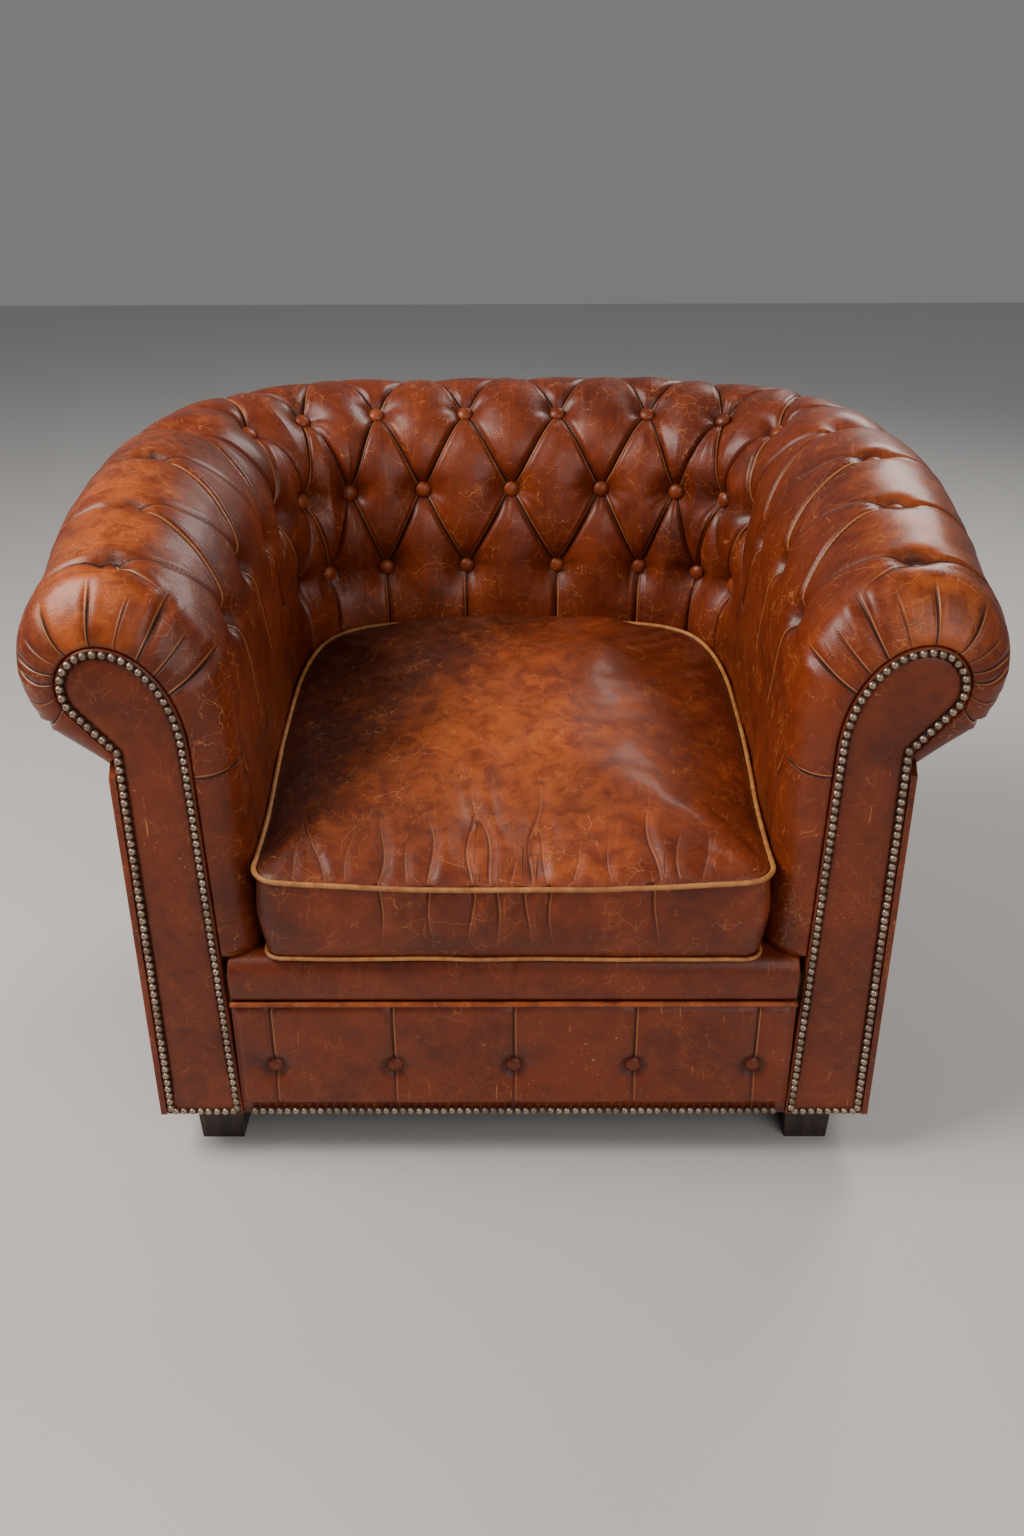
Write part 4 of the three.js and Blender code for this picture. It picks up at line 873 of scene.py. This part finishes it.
# Arm facings with their nails
facing = {
    "thickness": 0.012, "grow": 0.0057, "round": 0.0022, "sharpAngle": 50,
    "straightSteps": 8, "archSteps": 26, "rollSteps": 30, "sideSteps": 10,
    # Steps inwards from the edge: width, rise, and how much painted shade darkens the leather there, most in
    # the band round the nails
    "steps": ((0.0008, 0.0013, 0.0), (0.0016, 0.0008, 0.0), (0.0012, -0.0006, 0.35), (0.0010, -0.0012, 0.9),
              (0.0052, 0.0, 0.9), (0.0010, 0.0012, 0.3), (0.0025, 0.0008, 0.0), (0.0090, 0.0008, 0.0)),
}
nails = {
    "pitch": 0.0095, "radius": 0.0044, "height": 0.0044, "inset": 0.006, "jitter": 0.035, "stray": 0.0003,
    "tilt": 0.1, "proud": 0.0006, "proudOfBorder": 0.0021,
}


# Outline of an arm front, from its inner bottom corner over the roll and down the outside
def armOutline(grow, bottom):
    wall = tub["rollHeight"] + shoulderZ - bottom
    counts = (facing["straightSteps"], facing["archSteps"], facing["rollSteps"], facing["straightSteps"])
    w = np.concatenate([np.linspace(k, k + 1, count)[min(k, 1):] for k, count in enumerate(counts)])
    n, z = coreAt(w, grow, wall)
    endN = grow - tub["neckInset"]
    sideZ = np.linspace(z[-1], bottom - tub["rollHeight"], facing["sideSteps"])[1:]
    return np.concatenate([n, np.full(len(sideZ), endN)]), np.concatenate([z, sideZ]) + tub["rollHeight"]


def makeFacing(name, side):
    form = bmesh.new()
    corners = []
    for n, z in zip(*armOutline(facing["grow"], tub["bottom"])):
        corners.append(form.verts.new((side * (tub["rollCentreX"] + n), frontY + facing["round"], z)))
    for k, corner in enumerate(corners):
        form.edges.new((corner, corners[(k + 1) % len(corners)]))
    face = bmesh.ops.contextual_create(form, geom=form.edges[:])["faces"][0]
    if face.normal.y > 0:
        face.normal_flip()
    back = bmesh.ops.extrude_face_region(form, geom=[face])
    moved = [item for item in back["geom"] if isinstance(item, bmesh.types.BMVert)]
    bmesh.ops.translate(form, verts=moved, vec=(0, facing["thickness"] - facing["round"], 0))
    bmesh.ops.recalc_face_normals(form, faces=form.faces)
    # The two large faces have more corners than the quads of the edge
    large = [item for item in form.faces if len(item.verts) > 8]
    front = min(large, key=lambda item: item.calc_center_median().y)
    pitShade = form.verts.layers.float.new("pitShade")
    # Each step gets its painted shade
    for width, rise, dark in facing["steps"]:
        bmesh.ops.inset_region(form, faces=[front], thickness=width, depth=rise)
        for vert in front.verts:
            vert[pitShade] = dark
    bmesh.ops.triangulate(form, faces=[item for item in form.faces if len(item.verts) > 4])
    piece = addPiece(f"facingLeather_{name}", form, borderLeather, [f"facing_{name}"],
                     sharpAngle=facing["sharpAngle"])


def evenPoints(n, z, pitch):
    length = np.concatenate([[0], np.cumsum(np.hypot(np.diff(n), np.diff(z)))])
    count = max(2, round(length[-1] / pitch))
    at = (np.arange(count) + 0.5) * length[-1] / count
    return np.interp(at, length, n), np.interp(at, length, z)


# Nail heads, each a little off its place, turned, tilted and dented
def makeNails(name, xs, zs, y, seed):
    dice = random.Random(seed)
    form = bmesh.new()
    for x, z in zip(xs, zs):
        strayX = dice.uniform(-1, 1) * nails["stray"]
        strayZ = dice.uniform(-1, 1) * nails["stray"]
        place = Matrix.Translation((x + strayX, y, z + strayZ))
        turn = Matrix.Rotation(dice.uniform(0, 6.28), 4, "Y")
        tilt = Matrix.Rotation(dice.uniform(-nails["tilt"], nails["tilt"]), 4, "X")
        size = Matrix.Diagonal((nails["radius"], nails["height"], nails["radius"], 1))
        made = bmesh.ops.create_icosphere(form, subdivisions=2, radius=1, matrix=place @ turn @ tilt @ size)
        for vert in made["verts"]:
            push = 1 + dice.uniform(-1, 1) * nails["jitter"]
            vert.co = place.translation + (vert.co - place.translation) * push
    addPiece(f"nails_{name}", form, bronze, [f"nail_row_{name}"])


for name, side in (("left", -1), ("right", 1)):
    makeFacing(name, side)
    edgeN, edgeZ = armOutline(0.0, tub["bottom"] + nails["inset"])
    nailN, nailZ = evenPoints(np.append(edgeN, edgeN[0]), np.append(edgeZ, edgeZ[0]), nails["pitch"])
    makeNails(name, side * (tub["rollCentreX"] + nailN), nailZ, frontY - nails["proud"], 11 + side)
print("facings and nails made")

# Outside panels
outside = {
    "inner": -0.0027, "outer": 0.006, "seam": 2.75, "seamGap": 0.004, "top": 0.0955, "bulge": 0.0035,
    "rows": 26, "columnsASpace": 18, "lumps": 0.0015, "lumpScale": 6.0, "sharpAngle": 60,
    "endReach": 0.018, "endSunk": 0.002, "endWear": 0.5,
}


# A panel from one place of the tub to another, its ends drawn in to the seams
def makeOutside(name, fromU, toU):
    columns = np.linspace(fromU, toU, round((toU - fromU) * outside["columnsASpace"]) + 1)
    top = rollFrame(columns)[4] - outside["top"]
    share = np.linspace(0, 1, outside["rows"])
    ends = smooth(0.0, outside["endReach"], np.minimum(columns - fromU, toU - columns) * spacing)[:, None]
    rounded = smooth(0.0, 0.05, share) * smooth(1.0, 0.96, share)
    x, y, outX, outY = (part[:, None] for part in rollFrame(columns)[:4])
    z = tub["bottom"] + (top[:, None] - tub["bottom"]) * share[None, :]
    flat = 0 * z
    lumps = outside["lumps"] * lumpsAt(np.stack([x + flat, y + flat, z], axis=-1), outside["lumpScale"], 3)
    bulge = rounded[None, :] * ends * (outside["bulge"] + lumps)
    n = outside["outer"] + bulge - (1 - ends) * outside["endSunk"]
    front = np.stack([x + outX * n, y + outY * n, z], axis=-1)
    inner = np.stack([x + outX * outside["inner"] + flat, y + outY * outside["inner"] + flat, z], axis=-1)
    wearAndSheen = flat + (1 - ends) * outside["endWear"]
    form = sheetForm(*closedRound(front, inner[:, ::-1], {"wearAndSheen": wearAndSheen}, 0.0))
    closeForm(form)
    piece = addPiece(f"outsideLeather_{name}", form, upholstery, [f"outside_{name}"],
                     sharpAngle=outside["sharpAngle"])


makeOutside("back", -outside["seam"], outside["seam"])
makeOutside("arm_left", -tub["spaces"], -outside["seam"] - outside["seamGap"])
makeOutside("arm_right", outside["seam"] + outside["seamGap"], tub["spaces"])
print("outside panels made")

# Front border: padded panel, buttons, lip and piping
border = {
    "columns": 260, "rows": 60, "edgeSunk": 0.003, "band": 0.012, "puff": 0.0045, "seatBack": 0.0025,
    "pleat": 0.0050, "pleatReach": 0.0035, "pleatSides": 0.014, "pleatFades": 0.05, "pleatAtEnds": 0.55,
    "dimple": 0.0095, "cupRim": 0.008, "cupFall": 0.012, "wrinklesARound": 8, "wrinkle": 0.0012,
    "buttons": 5, "buttonPitch": 0.1355, "buttonZ": 0.132, "buttonRadius": 0.0100, "buttonHeight": 0.0055,
    "buttonSunk": 0.0005, "lumps": 0.0012, "lumpScale": 14.0, "sharpAngle": 60,
}
borderButtonX = (np.arange(border["buttons"]) - (border["buttons"] - 1) / 2) * border["buttonPitch"]


def makeFrontPanel():
    low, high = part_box("front_panel")
    columns, rows = np.linspace(low.x, high.x, border["columns"]), np.linspace(low.z, high.z, border["rows"])
    x, z = np.meshgrid(columns, rows, indexing="ij")
    offsets = x[..., None] - borderButtonX
    nearest = np.argmin(np.abs(offsets), axis=-1)
    away = np.take_along_axis(offsets, nearest[..., None], axis=-1)[..., 0]
    above = z - border["buttonZ"]
    radius = np.hypot(away, above)
    fromBand = smooth(border["band"], border["band"] + 0.012, z - low.z)
    fromEnds = smooth(0.0, 0.010, np.minimum(x - low.x, high.x - x))
    fromTop = smooth(0.0, 0.008, high.z - z)
    # An upright pleat through each button, weaker below it, with a dimple and small wrinkles round the button
    narrow = bell(np.abs(away), border["pleatReach"], 1) * 0.75 + bell(away, border["pleatSides"]) * 0.25
    strength = mix(border["pleatAtEnds"], 1.0, bell(np.abs(above), border["pleatFades"], 1))
    strength = strength * np.where(above > 0, 1.0, 0.55)
    cup = bell(np.maximum(0, radius - border["cupRim"]), border["cupFall"], 1.2)
    depth = np.maximum(border["pleat"] * narrow * strength * fromBand, border["dimple"] * cup)
    ripple = np.cos(border["wrinklesARound"] * np.arctan2(above, away)) * smooth(0.009, 0.016, radius)
    depth += border["wrinkle"] * ripple * bell(radius, 0.02, 1)
    lift = border["puff"] * fromBand * fromEnds * fromTop
    lumps = lumpsAt(np.stack([x, 0 * x, z], axis=-1), border["lumpScale"], 5) * border["lumps"] * fromBand
    sunk = border["edgeSunk"] * (1 - fromBand)
    front = np.stack([x, low.y + sunk + border["seatBack"] - lift + depth + lumps, z], axis=-1)
    edges = slice(None, None, border["rows"] - 1)
    back = np.stack([x[:, edges], 0 * x[:, edges] + high.y, z[:, edges]], axis=-1)[:, ::-1]
    # Painted shade in the cups of the buttons and along the bottom edge
    pitShade = np.maximum(0.8 * cup * (radius < 0.016), 0.75 * (1 - smooth(0.004, 0.013, z - low.z)))
    # Fold marks, painted as a dark line beside each pleat with a painted highlight on one side
    named = {"foldGap": np.clip(away, -unmarked, unmarked), "fold": strength * fromBand * nearFold(away),
             "pitShade": pitShade, "tuckGap": 0 * x + unmarked, "wearAndSheen": 0.1 * fromBand * (1 - cup)}
    form = sheetForm(*closedRound(front, back, named))
    closeForm(form)
    piece = addPiece("borderPanel", form, borderLeather, ["front_panel"], sharpAngle=border["sharpAngle"])
    return low.y


panelY = makeFrontPanel()


def makeBorderButtons():
    for i, x in enumerate(borderButtonX, 1):
        form = bmesh.new()
        seat = Vector((x, panelY + border["dimple"] - border["buttonSunk"], border["buttonZ"]))
        addButton(form, seat, (0, -1, 0), border["buttonRadius"], border["buttonHeight"])
        wearAndSheenEvenly(form, 0.35)
        addPiece(f"borderButton_{i}", form, borderLeather, [f"front_button_{i}"])


makeBorderButtons()
baseLow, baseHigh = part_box("nail_row_base")
baseHeight = (baseLow.z + baseHigh.z) / 2
baseX, baseZ = evenPoints(np.array([baseLow.x, baseHigh.x]), np.full(2, baseHeight), nails["pitch"])
makeNails("base", baseX, baseZ, panelY + nails["proudOfBorder"], 29)

# Lip over the front rail: its section from the front bottom corner, as shares of its depth and height
lip = {
    "columns": 160, "sag": 0.0016, "lumpScale": 12.0, "sharpAngle": 45,
    "seamReach": 0.0018, "seamDeep": 0.0014, "seamDrop": 0.0012,
    "section": ((0.10, 0.0), (0.055, 0.10), (0.02, 0.25), (0.0, 0.45), (0.01, 0.62), (0.05, 0.78),
                (0.13, 0.90), (0.24, 0.97), (0.38, 1.0), (0.6, 1.0), (0.8, 1.0), (1.0, 1.0),
                (1.0, 0.52), (0.55, 0.5), (0.55, 0.0)),
}


def makeLip():
    low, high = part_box("front_lip")
    deep, height = high.y - low.y, high.z - low.z
    sectionY, sectionZ = np.array(lip["section"]).T
    columns = np.linspace(low.x, high.x, lip["columns"])
    x, y = np.meshgrid(columns, low.y + deep * sectionY, indexing="ij")
    z = np.meshgrid(columns, low.z + height * sectionZ, indexing="ij")[1]
    top = smooth(0.2, 0.9, (z - low.z) / height) * (y < low.y + 0.6 * deep)
    seam = bell(np.abs(x), lip["seamReach"], 1)
    sag = lip["sag"] * (1 + lumpsAt(np.stack([x, 0 * x, z], axis=-1), lip["lumpScale"], 7)) * top
    y = y + lip["seamDeep"] * seam * (y < low.y + 0.5 * deep)
    z = z - sag - lip["seamDrop"] * seam * top
    places = np.stack([x, y, z], axis=-1)
    across = np.concatenate([np.abs(x), np.abs(x[:, :1])], axis=1)
    flat = 0 * across
    # The fold marks paint the middle seam as a dark line with painted shade beside it
    form = sheetForm(np.concatenate([places, places[:, :1]], axis=1),
                     {"foldGap": -np.minimum(across, unmarked), "fold": flat + 0.6,
                      "tuckGap": flat + unmarked, "wearAndSheen": flat + 0.15})
    closeForm(form)
    piece = addPiece("borderLip", form, borderLeather, ["front_lip"], sharpAngle=lip["sharpAngle"])
    softer = piece.modifiers.new("soften", "SUBSURF")
    softer.levels = softer.render_levels = 1


makeLip()


def evaluatedMesh(thing):
    return bpy.data.meshes.new_from_object(thing.evaluated_get(bpy.context.evaluated_depsgraph_get()))


# A round welt along points, as a closed tube of mesh
def weltCurve(name, points, radius, closed):
    data = bpy.data.curves.new(name, "CURVE")
    data.dimensions = "3D"
    data.bevel_depth = radius
    data.bevel_resolution = 3
    data.use_fill_caps = True
    spline = data.splines.new("POLY")
    spline.points.add(len(points) - 1)
    for point, place in zip(spline.points, points):
        point.co = (*place, 1)
    spline.use_cyclic_u = closed
    holder = inScene(name + "_line", data)
    mesh = evaluatedMesh(holder)
    bpy.data.objects.remove(holder)
    form = bmesh.new()
    form.from_mesh(mesh)
    bpy.data.meshes.remove(mesh)
    bmesh.ops.remove_doubles(form, verts=form.verts, dist=1e-6)
    return form


def makeLipWelt():
    low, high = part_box("front_lip_piping")
    y, z = (low.y + high.y) / 2, (low.z + high.z) / 2
    radius, wave, waveScale = 0.0033, 0.0005, 9
    points = []
    for x in np.linspace(low.x, high.x, 90):
        points.append(Vector((x, y, z + wave * noise.noise(Vector((x * waveScale, 0, 3))))))
    form = weltCurve("lipWelt", points, radius, False)
    # Painted highlight: the welt is made pale all over, as a highlight line along it
    wearAndSheenEvenly(form, 0.9)
    addPiece("lipWelt", form, upholstery, ["front_lip_piping"])


makeLipWelt()
print("front border made")

# Loose seat cushion
cushion = {
    "gap": 0.012, "overhang": 0.015, "bottomSeam": 0.287, "topSeam": 0.382,
    "rearRise": 0.076, "risePower": 1.2, "cornerRadius": 0.026,
    "frontSag": 0.013, "frontLift": 0.008, "sagReach": 0.16,
    "crownShare": 0.92, "shrink": 0.995, "voxel": 0.005, "cap": 0.022, "frames": 20,
    "seamHeld": 0.0045, "bottomHeld": 0.003,
    "rearCrown": 0.013, "rearCrownReach": 0.30, "rearCrownHalf": (0.19, 0.11),
    "rim": 0.55, "rimPlace": 1.7, "ruckFrom": 0.0035, "ruckRim": 0.5, "ruckRimPlace": 1.8,
    "lumps": 0.0035, "lumpScale": 11.0, "smallLumps": 0.0012, "smallLumpScale": 28.0,
    "wearX": -0.02, "wearY": -0.20, "wearReach": 0.19,
    "weltInPiping": 0.0065, "weltWave": 14, "weltSway": (0.0008, 0.0006, 0.0014),
    "weltRadius": 0.0029, "lowerWeltRadius": 0.0023, "weltOut": 0.0005, "lowerWeltOut": -0.0045,
}
cushionFront = frontY - cushion["overhang"]
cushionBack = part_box("cushion_piping_top")[1].y - cushion["weltInPiping"]
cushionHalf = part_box("cushion_piping_top")[1].x - cushion["weltInPiping"]


# The upper seam climbs to the rear, and its front edge has sunk in the middle between its lifted corners
def seamSag(x, y):
    wide = 1 - np.clip(np.abs(x) / cushionHalf, 0, 1) ** 2.2
    fromFront = smooth(cushion["sagReach"], 0, y - cushionFront)
    return (cushion["frontSag"] * wide - cushion["frontLift"]) * fromFront


def seamHeight(x, y, sagged=True):
    share = np.clip((y - cushionFront) / (cushionBack - cushionFront), 0, 1)
    height = cushion["topSeam"] + cushion["rearRise"] * share ** cushion["risePower"]
    return height - seamSag(x, y) if sagged else height


# Wrinkles running back from the front edge: x at the edge, how far they lean, length, depth, half width
frontWrinkles = [
    (-0.200, -0.030, 0.120, 0.0030, 0.007), (-0.226, -0.022, 0.075, 0.0016, 0.005),
    (-0.176, 0.004, 0.095, 0.0018, 0.005), (-0.143, 0.002, 0.120, 0.0038, 0.009),
    (-0.087, -0.006, 0.110, 0.0040, 0.008), (-0.046, -0.002, 0.210, 0.0044, 0.011),
    (-0.020, -0.020, 0.150, 0.0042, 0.009), (-0.004, 0.004, 0.050, 0.0022, 0.005),
    (0.014, 0.010, 0.170, 0.0046, 0.010), (0.040, -0.024, 0.120, 0.0036, 0.008),
    (0.062, 0.010, 0.075, 0.0022, 0.006), (0.150, -0.006, 0.130, 0.0042, 0.009),
    (0.174, 0.004, 0.075, 0.0028, 0.006), (0.198, 0.012, 0.080, 0.0020, 0.006),
    (-0.115, 0.010, 0.070, 0.0018, 0.006), (0.105, -0.008, 0.080, 0.0018, 0.006),
]


# Outline of the cushion: along the tub, round its front corners and across the front
def cushionOutline(grow):
    n = -tub["reach"] - tub["pad"] - cushion["gap"] + grow
    u = np.linspace(0, spacesBack(tub["curl"]), 60)
    x, y = placed(u, n, 0)[:, :2].T
    side = tub["rollCentreX"] + n
    front = cushionFront - grow
    radius = cushion["cornerRadius"] + grow
    turn = np.linspace(0, math.pi / 2, 12)
    cornerX = side - radius + radius * np.cos(turn)
    cornerY = front + radius - radius * np.sin(turn)
    edgeX = np.linspace(side - radius, 0, 30)[1:]
    halfX = np.concatenate([x, cornerX, edgeX])
    halfY = np.concatenate([y, cornerY, np.full(len(edgeX), front)])
    return np.concatenate([halfX, -halfX[1:-1][::-1]]), np.concatenate([halfY, halfY[1:-1][::-1]])


def readPoints(mesh):
    points = np.zeros(len(mesh.vertices) * 3)
    mesh.vertices.foreach_get("co", points)
    return points.reshape(-1, 3)


caseCloth = {
    "quality": 6, "mass": 0.3, "tension_stiffness": 18, "compression_stiffness": 18, "bending_stiffness": 0.6,
    "use_pressure": True, "uniform_pressure_force": 4.0,
}


# The points of the piece after the cloth simulation, with the pinned ones held
def inflate(piece, pinned):
    group = piece.vertex_groups.new(name="seams")
    group.add(pinned, 1.0, "REPLACE")
    sim = piece.modifiers.new("stuffing", "CLOTH")
    for key, setting in caseCloth.items():
        setattr(sim.settings, key, setting)
    sim.settings.vertex_group_mass = group.name
    sim.settings.effector_weights.gravity = 0
    sim.point_cache.frame_start = 1
    sim.point_cache.frame_end = cushion["frames"]
    scene = bpy.context.scene
    scene.frame_start, scene.frame_end = 1, cushion["frames"]
    for step in range(1, cushion["frames"] + 1):
        scene.frame_set(step)
    points = readPoints(piece.evaluated_get(bpy.context.evaluated_depsgraph_get()).data)
    piece.modifiers.remove(sim)
    piece.vertex_groups.remove(group)
    scene.frame_set(1)
    return points


# The CAD cushion with its seams brought to their heights, on an even mesh
def evenCushion():
    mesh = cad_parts["seat_cushion"].data.copy()
    mesh.materials.clear()
    form = bmesh.new()
    form.from_mesh(mesh)
    bmesh.ops.remove_doubles(form, verts=form.verts, dist=1e-5)
    middle, bottom = (cushionFront + cushionBack) / 2, cushion["bottomSeam"]
    for vert in form.verts:
        x, y, z = vert.co
        seam = float(seamHeight(x, y, False))
        share = min(1.0, max(0.0, (z - bottom) / (seam - bottom)))
        z = min(z, seam) + max(0.0, z - seam) * cushion["crownShare"] - share * float(seamSag(x, y))
        vert.co = (x * cushion["shrink"], middle + (y - middle) * cushion["shrink"], z)
    form.to_mesh(mesh)
    form.free()
    piece = inScene("seatCushion", mesh)
    remesh = piece.modifiers.new("even", "REMESH")
    remesh.mode = "VOXEL"
    remesh.voxel_size = cushion["voxel"]
    evened = evaluatedMesh(piece)
    piece.modifiers.clear()
    piece.data = evened
    bpy.data.meshes.remove(mesh)
    evened.name = "seatCushion"
    return piece


# Points of the cushion, inflated with its seams held and no point moved further than the cap
def stuffedPoints(piece):
    start = readPoints(piece.data)
    fromSeam = np.abs(start[:, 2] - seamHeight(start[:, 0], start[:, 1]))
    low = start[:, 2] < cushion["bottomSeam"] + cushion["bottomHeld"]
    pinned = np.where((fromSeam < cushion["seamHeld"]) | low)[0]
    move = inflate(piece, [int(k) for k in pinned]) - start
    size = np.linalg.norm(move, axis=1, keepdims=True)
    return start + move * np.minimum(1, cushion["cap"] / np.maximum(size, 1e-9))


# A furrow with a raised rim on one side
def furrow(across, rim, rimPlace):
    return bell(across, 1) - rim * bell(across - rimPlace, 1)


# Wrinkles of the top and, from the deeper ones, rucks of the front face, with the fold marks of both, from
# which the leather paints shade and highlights
def cushionFolds(x, away, onTop, upFace, faceRun):
    depth, ruck, fold = np.zeros(len(x)), np.zeros(len(x)), np.zeros(len(x))
    foldGap = np.full(len(x), unmarked)
    for edgeX, lean, length, deep, half in frontWrinkles:
        line = edgeX + lean * away / 0.1 + 0.004 * np.sin(away * 60 + edgeX * 90)
        aside = x - line
        run = smooth(length, length * 0.25, away) * smooth(-0.004, 0.006, away)
        depth += deep * furrow(aside / half, cushion["rim"], cushion["rimPlace"]) * run
        closer = np.abs(aside) < np.abs(foldGap)
        foldGap = np.where(closer, aside, foldGap)
        fold = np.where(closer, 0.45 * run * onTop * min(1, deep / 0.004), fold)
    foldGap = np.where(faceRun > 0.2, unmarked, foldGap)
    deeper = [wrinkle for wrinkle in frontWrinkles if wrinkle[3] >= cushion["ruckFrom"]]
    for edgeX, deep, half in ((wrinkle[0], *wrinkle[3:]) for wrinkle in deeper):
        aside = x - edgeX - 0.004 * np.sin(upFace * 4 + edgeX * 50)
        closer = (faceRun > 0.2) & (np.abs(aside) < np.abs(foldGap))
        foldGap = np.where(closer, aside, foldGap)
        fold = np.where(closer, 0.5 * smooth(0.15, 0.75, upFace) * min(1, deep / 0.004), fold)
        shape = furrow(aside / (half * 0.7), cushion["ruckRim"], cushion["ruckRimPlace"])
        ruck += deep * 1.1 * shape * smooth(0.10, 0.80, upFace)
    return depth, ruck, foldGap, fold


def makeCushion():
    piece = evenCushion()
    evened = piece.data
    points = stuffedPoints(piece)
    away = points[:, 1] - cushionFront
    seam = seamHeight(points[:, 0], points[:, 1])
    onTop = smooth(0.001, 0.009, points[:, 2] - seam)
    upFace = (points[:, 2] - cushion["bottomSeam"]) / (seam - cushion["bottomSeam"])
    faceRun = smooth(0.02, 0.0, away) * smooth(0.02, 0.25, upFace) * (upFace < 1.02)
    depth, ruck, foldGap, fold = cushionFolds(points[:, 0], away, onTop, upFace, faceRun)
    fromRear = cushionBack - points[:, 1]
    rear = smooth(0, 0.035, fromRear) * smooth(cushion["rearCrownReach"], 0.08, fromRear)
    rear = cushion["rearCrown"] * rear * smooth(*cushion["rearCrownHalf"], np.abs(points[:, 0]))
    points[:, 2] += rear * onTop
    lumps = (lumpsAt(points, cushion["lumpScale"], 8) * cushion["lumps"]
             + lumpsAt(points, cushion["smallLumpScale"], 9) * cushion["smallLumps"])
    points[:, 2] += onTop * (lumps - depth)
    points[:, 1] += faceRun * (ruck + lumps * 0.6)
    points[:, 2] = np.maximum(points[:, 2], tub["deckTop"] + cover["deckGap"])
    evened.vertices.foreach_set("co", points.ravel())
    evened.update()
    fromWear = np.hypot(points[:, 0] - cushion["wearX"], points[:, 1] - cushion["wearY"])
    wearAndSheen = bell(fromWear, cushion["wearReach"])
    marks = {"wearAndSheen": np.clip(0.15 + wearAndSheen * onTop * 0.75, 0, 1), "foldGap": foldGap,
             "fold": fold * nearFold(foldGap)}
    for name, values in marks.items():
        mark = evened.attributes.new(name, "FLOAT", "POINT")
        mark.data.foreach_set("value", values.astype(np.float32))
    evened.materials.append(seatLeather)
    evened.polygons.foreach_set("use_smooth", [True] * len(evened.polygons))
    finer = piece.modifiers.new("finer", "SUBSURF")
    finer.levels = finer.render_levels = 1
    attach(piece, "root")
    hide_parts("seat_cushion")


makeCushion()
print("cushion stuffed")


def makeCushionWelts():
    swayX, swayY, swayZ = cushion["weltSway"]
    for name, seed, radius, out in (("top", 3, cushion["weltRadius"], cushion["weltOut"]),
                                    ("bottom", 6, cushion["lowerWeltRadius"], cushion["lowerWeltOut"])):
        points = []
        for x, y in zip(*cushionOutline(out)):
            wave = noise.noise(Vector((x * cushion["weltWave"], y * cushion["weltWave"], seed)))
            height = float(seamHeight(x, y)) if name == "top" else cushion["bottomSeam"]
            points.append(Vector((x + swayX * wave, y + swayY * wave, height + swayZ * wave)))
        form = weltCurve(f"cushionWelt_{name}", points, radius, True)
        addPiece(f"cushionWelt_{name}", form, piping, [f"cushion_piping_{name}"])


makeCushionWelts()
print("cushion welts made")

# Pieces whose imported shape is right: feet, frame, springs, deck and dust cover
footWood = wood("footWood", (0.040, 0.022, 0.014), (0.012, 0.007, 0.005), 2, 0.34)
frameWood = wood("frameWood", (0.52, 0.36, 0.20), (0.30, 0.18, 0.09), 0, 0.62)
steel = springSteel()
hessian = cloth("hessian", (0.42, 0.33, 0.21), 260.0)
dustCloth = cloth("dustCloth", (0.030, 0.027, 0.026), 420.0)
boards = ("base_rail", "seat_rail", "roll_rail", "upright", "front_post", "front_rail", "corner_block")
finishes = ((("foot",), footWood), (boards, frameWood), (("zigzag",), steel),
            (("spring_cloth", "seat_deck"), hessian), (("dust_cover",), dustCloth))
for nodeName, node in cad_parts.items():
    for starts, finish in finishes:
        if nodeName.startswith(starts):
            node.data.materials.clear()
            node.data.materials.append(finish)

# Floor and light; each light has its place, size, power and colour
stageSet = {
    "floorSize": 14.0, "floorColour": (0.62, 0.60, 0.58), "aim": (0, 0, 0.45),
    "key": ((-1.9, -0.7, 2.5), 1.5, 98.0, (1.0, 0.95, 0.89)),
    "fill": ((1.5, -2.7, 1.9), 2.2, 36.0, (1.0, 0.96, 0.92)),
    "rim": ((1.4, 1.9, 2.4), 1.1, 34.0, (1.0, 0.97, 0.93)),
    "air": 0.24, "airColour": (0.80, 0.82, 0.85, 1),
}


def makeStage():
    form = bmesh.new()
    bmesh.ops.create_grid(form, x_segments=2, y_segments=2, size=stageSet["floorSize"] / 2)
    mesh = bpy.data.meshes.new("paleFloor")
    form.to_mesh(mesh)
    form.free()
    paint = Paint("floorPaint")
    colour = paint.blend(paint.noise(3.0, 3.0), tuple(0.96 * part for part in stageSet["floorColour"]),
                         stageSet["floorColour"])
    mesh.materials.append(paint.finish({"Base Color": colour, "Roughness": 0.7}))
    inScene("paleFloor", mesh)
    for name in ("key", "fill", "rim"):
        place, size, power, colour = stageSet[name]
        data = bpy.data.lights.new(name + "Light", "AREA")
        data.size = size
        data.energy = power
        data.color = colour
        light = inScene(name + "Light", data)
        light.location = place
        light.rotation_euler = (Vector(stageSet["aim"]) - Vector(place)).to_track_quat("-Z", "Y").to_euler()
    world = bpy.data.worlds.new("softAir")
    world.use_nodes = True
    sky = world.node_tree.nodes["Background"].inputs
    sky["Color"].default_value = stageSet["airColour"]
    sky["Strength"].default_value = stageSet["air"]
    bpy.context.scene.world = world


makeStage()
print("stage set")
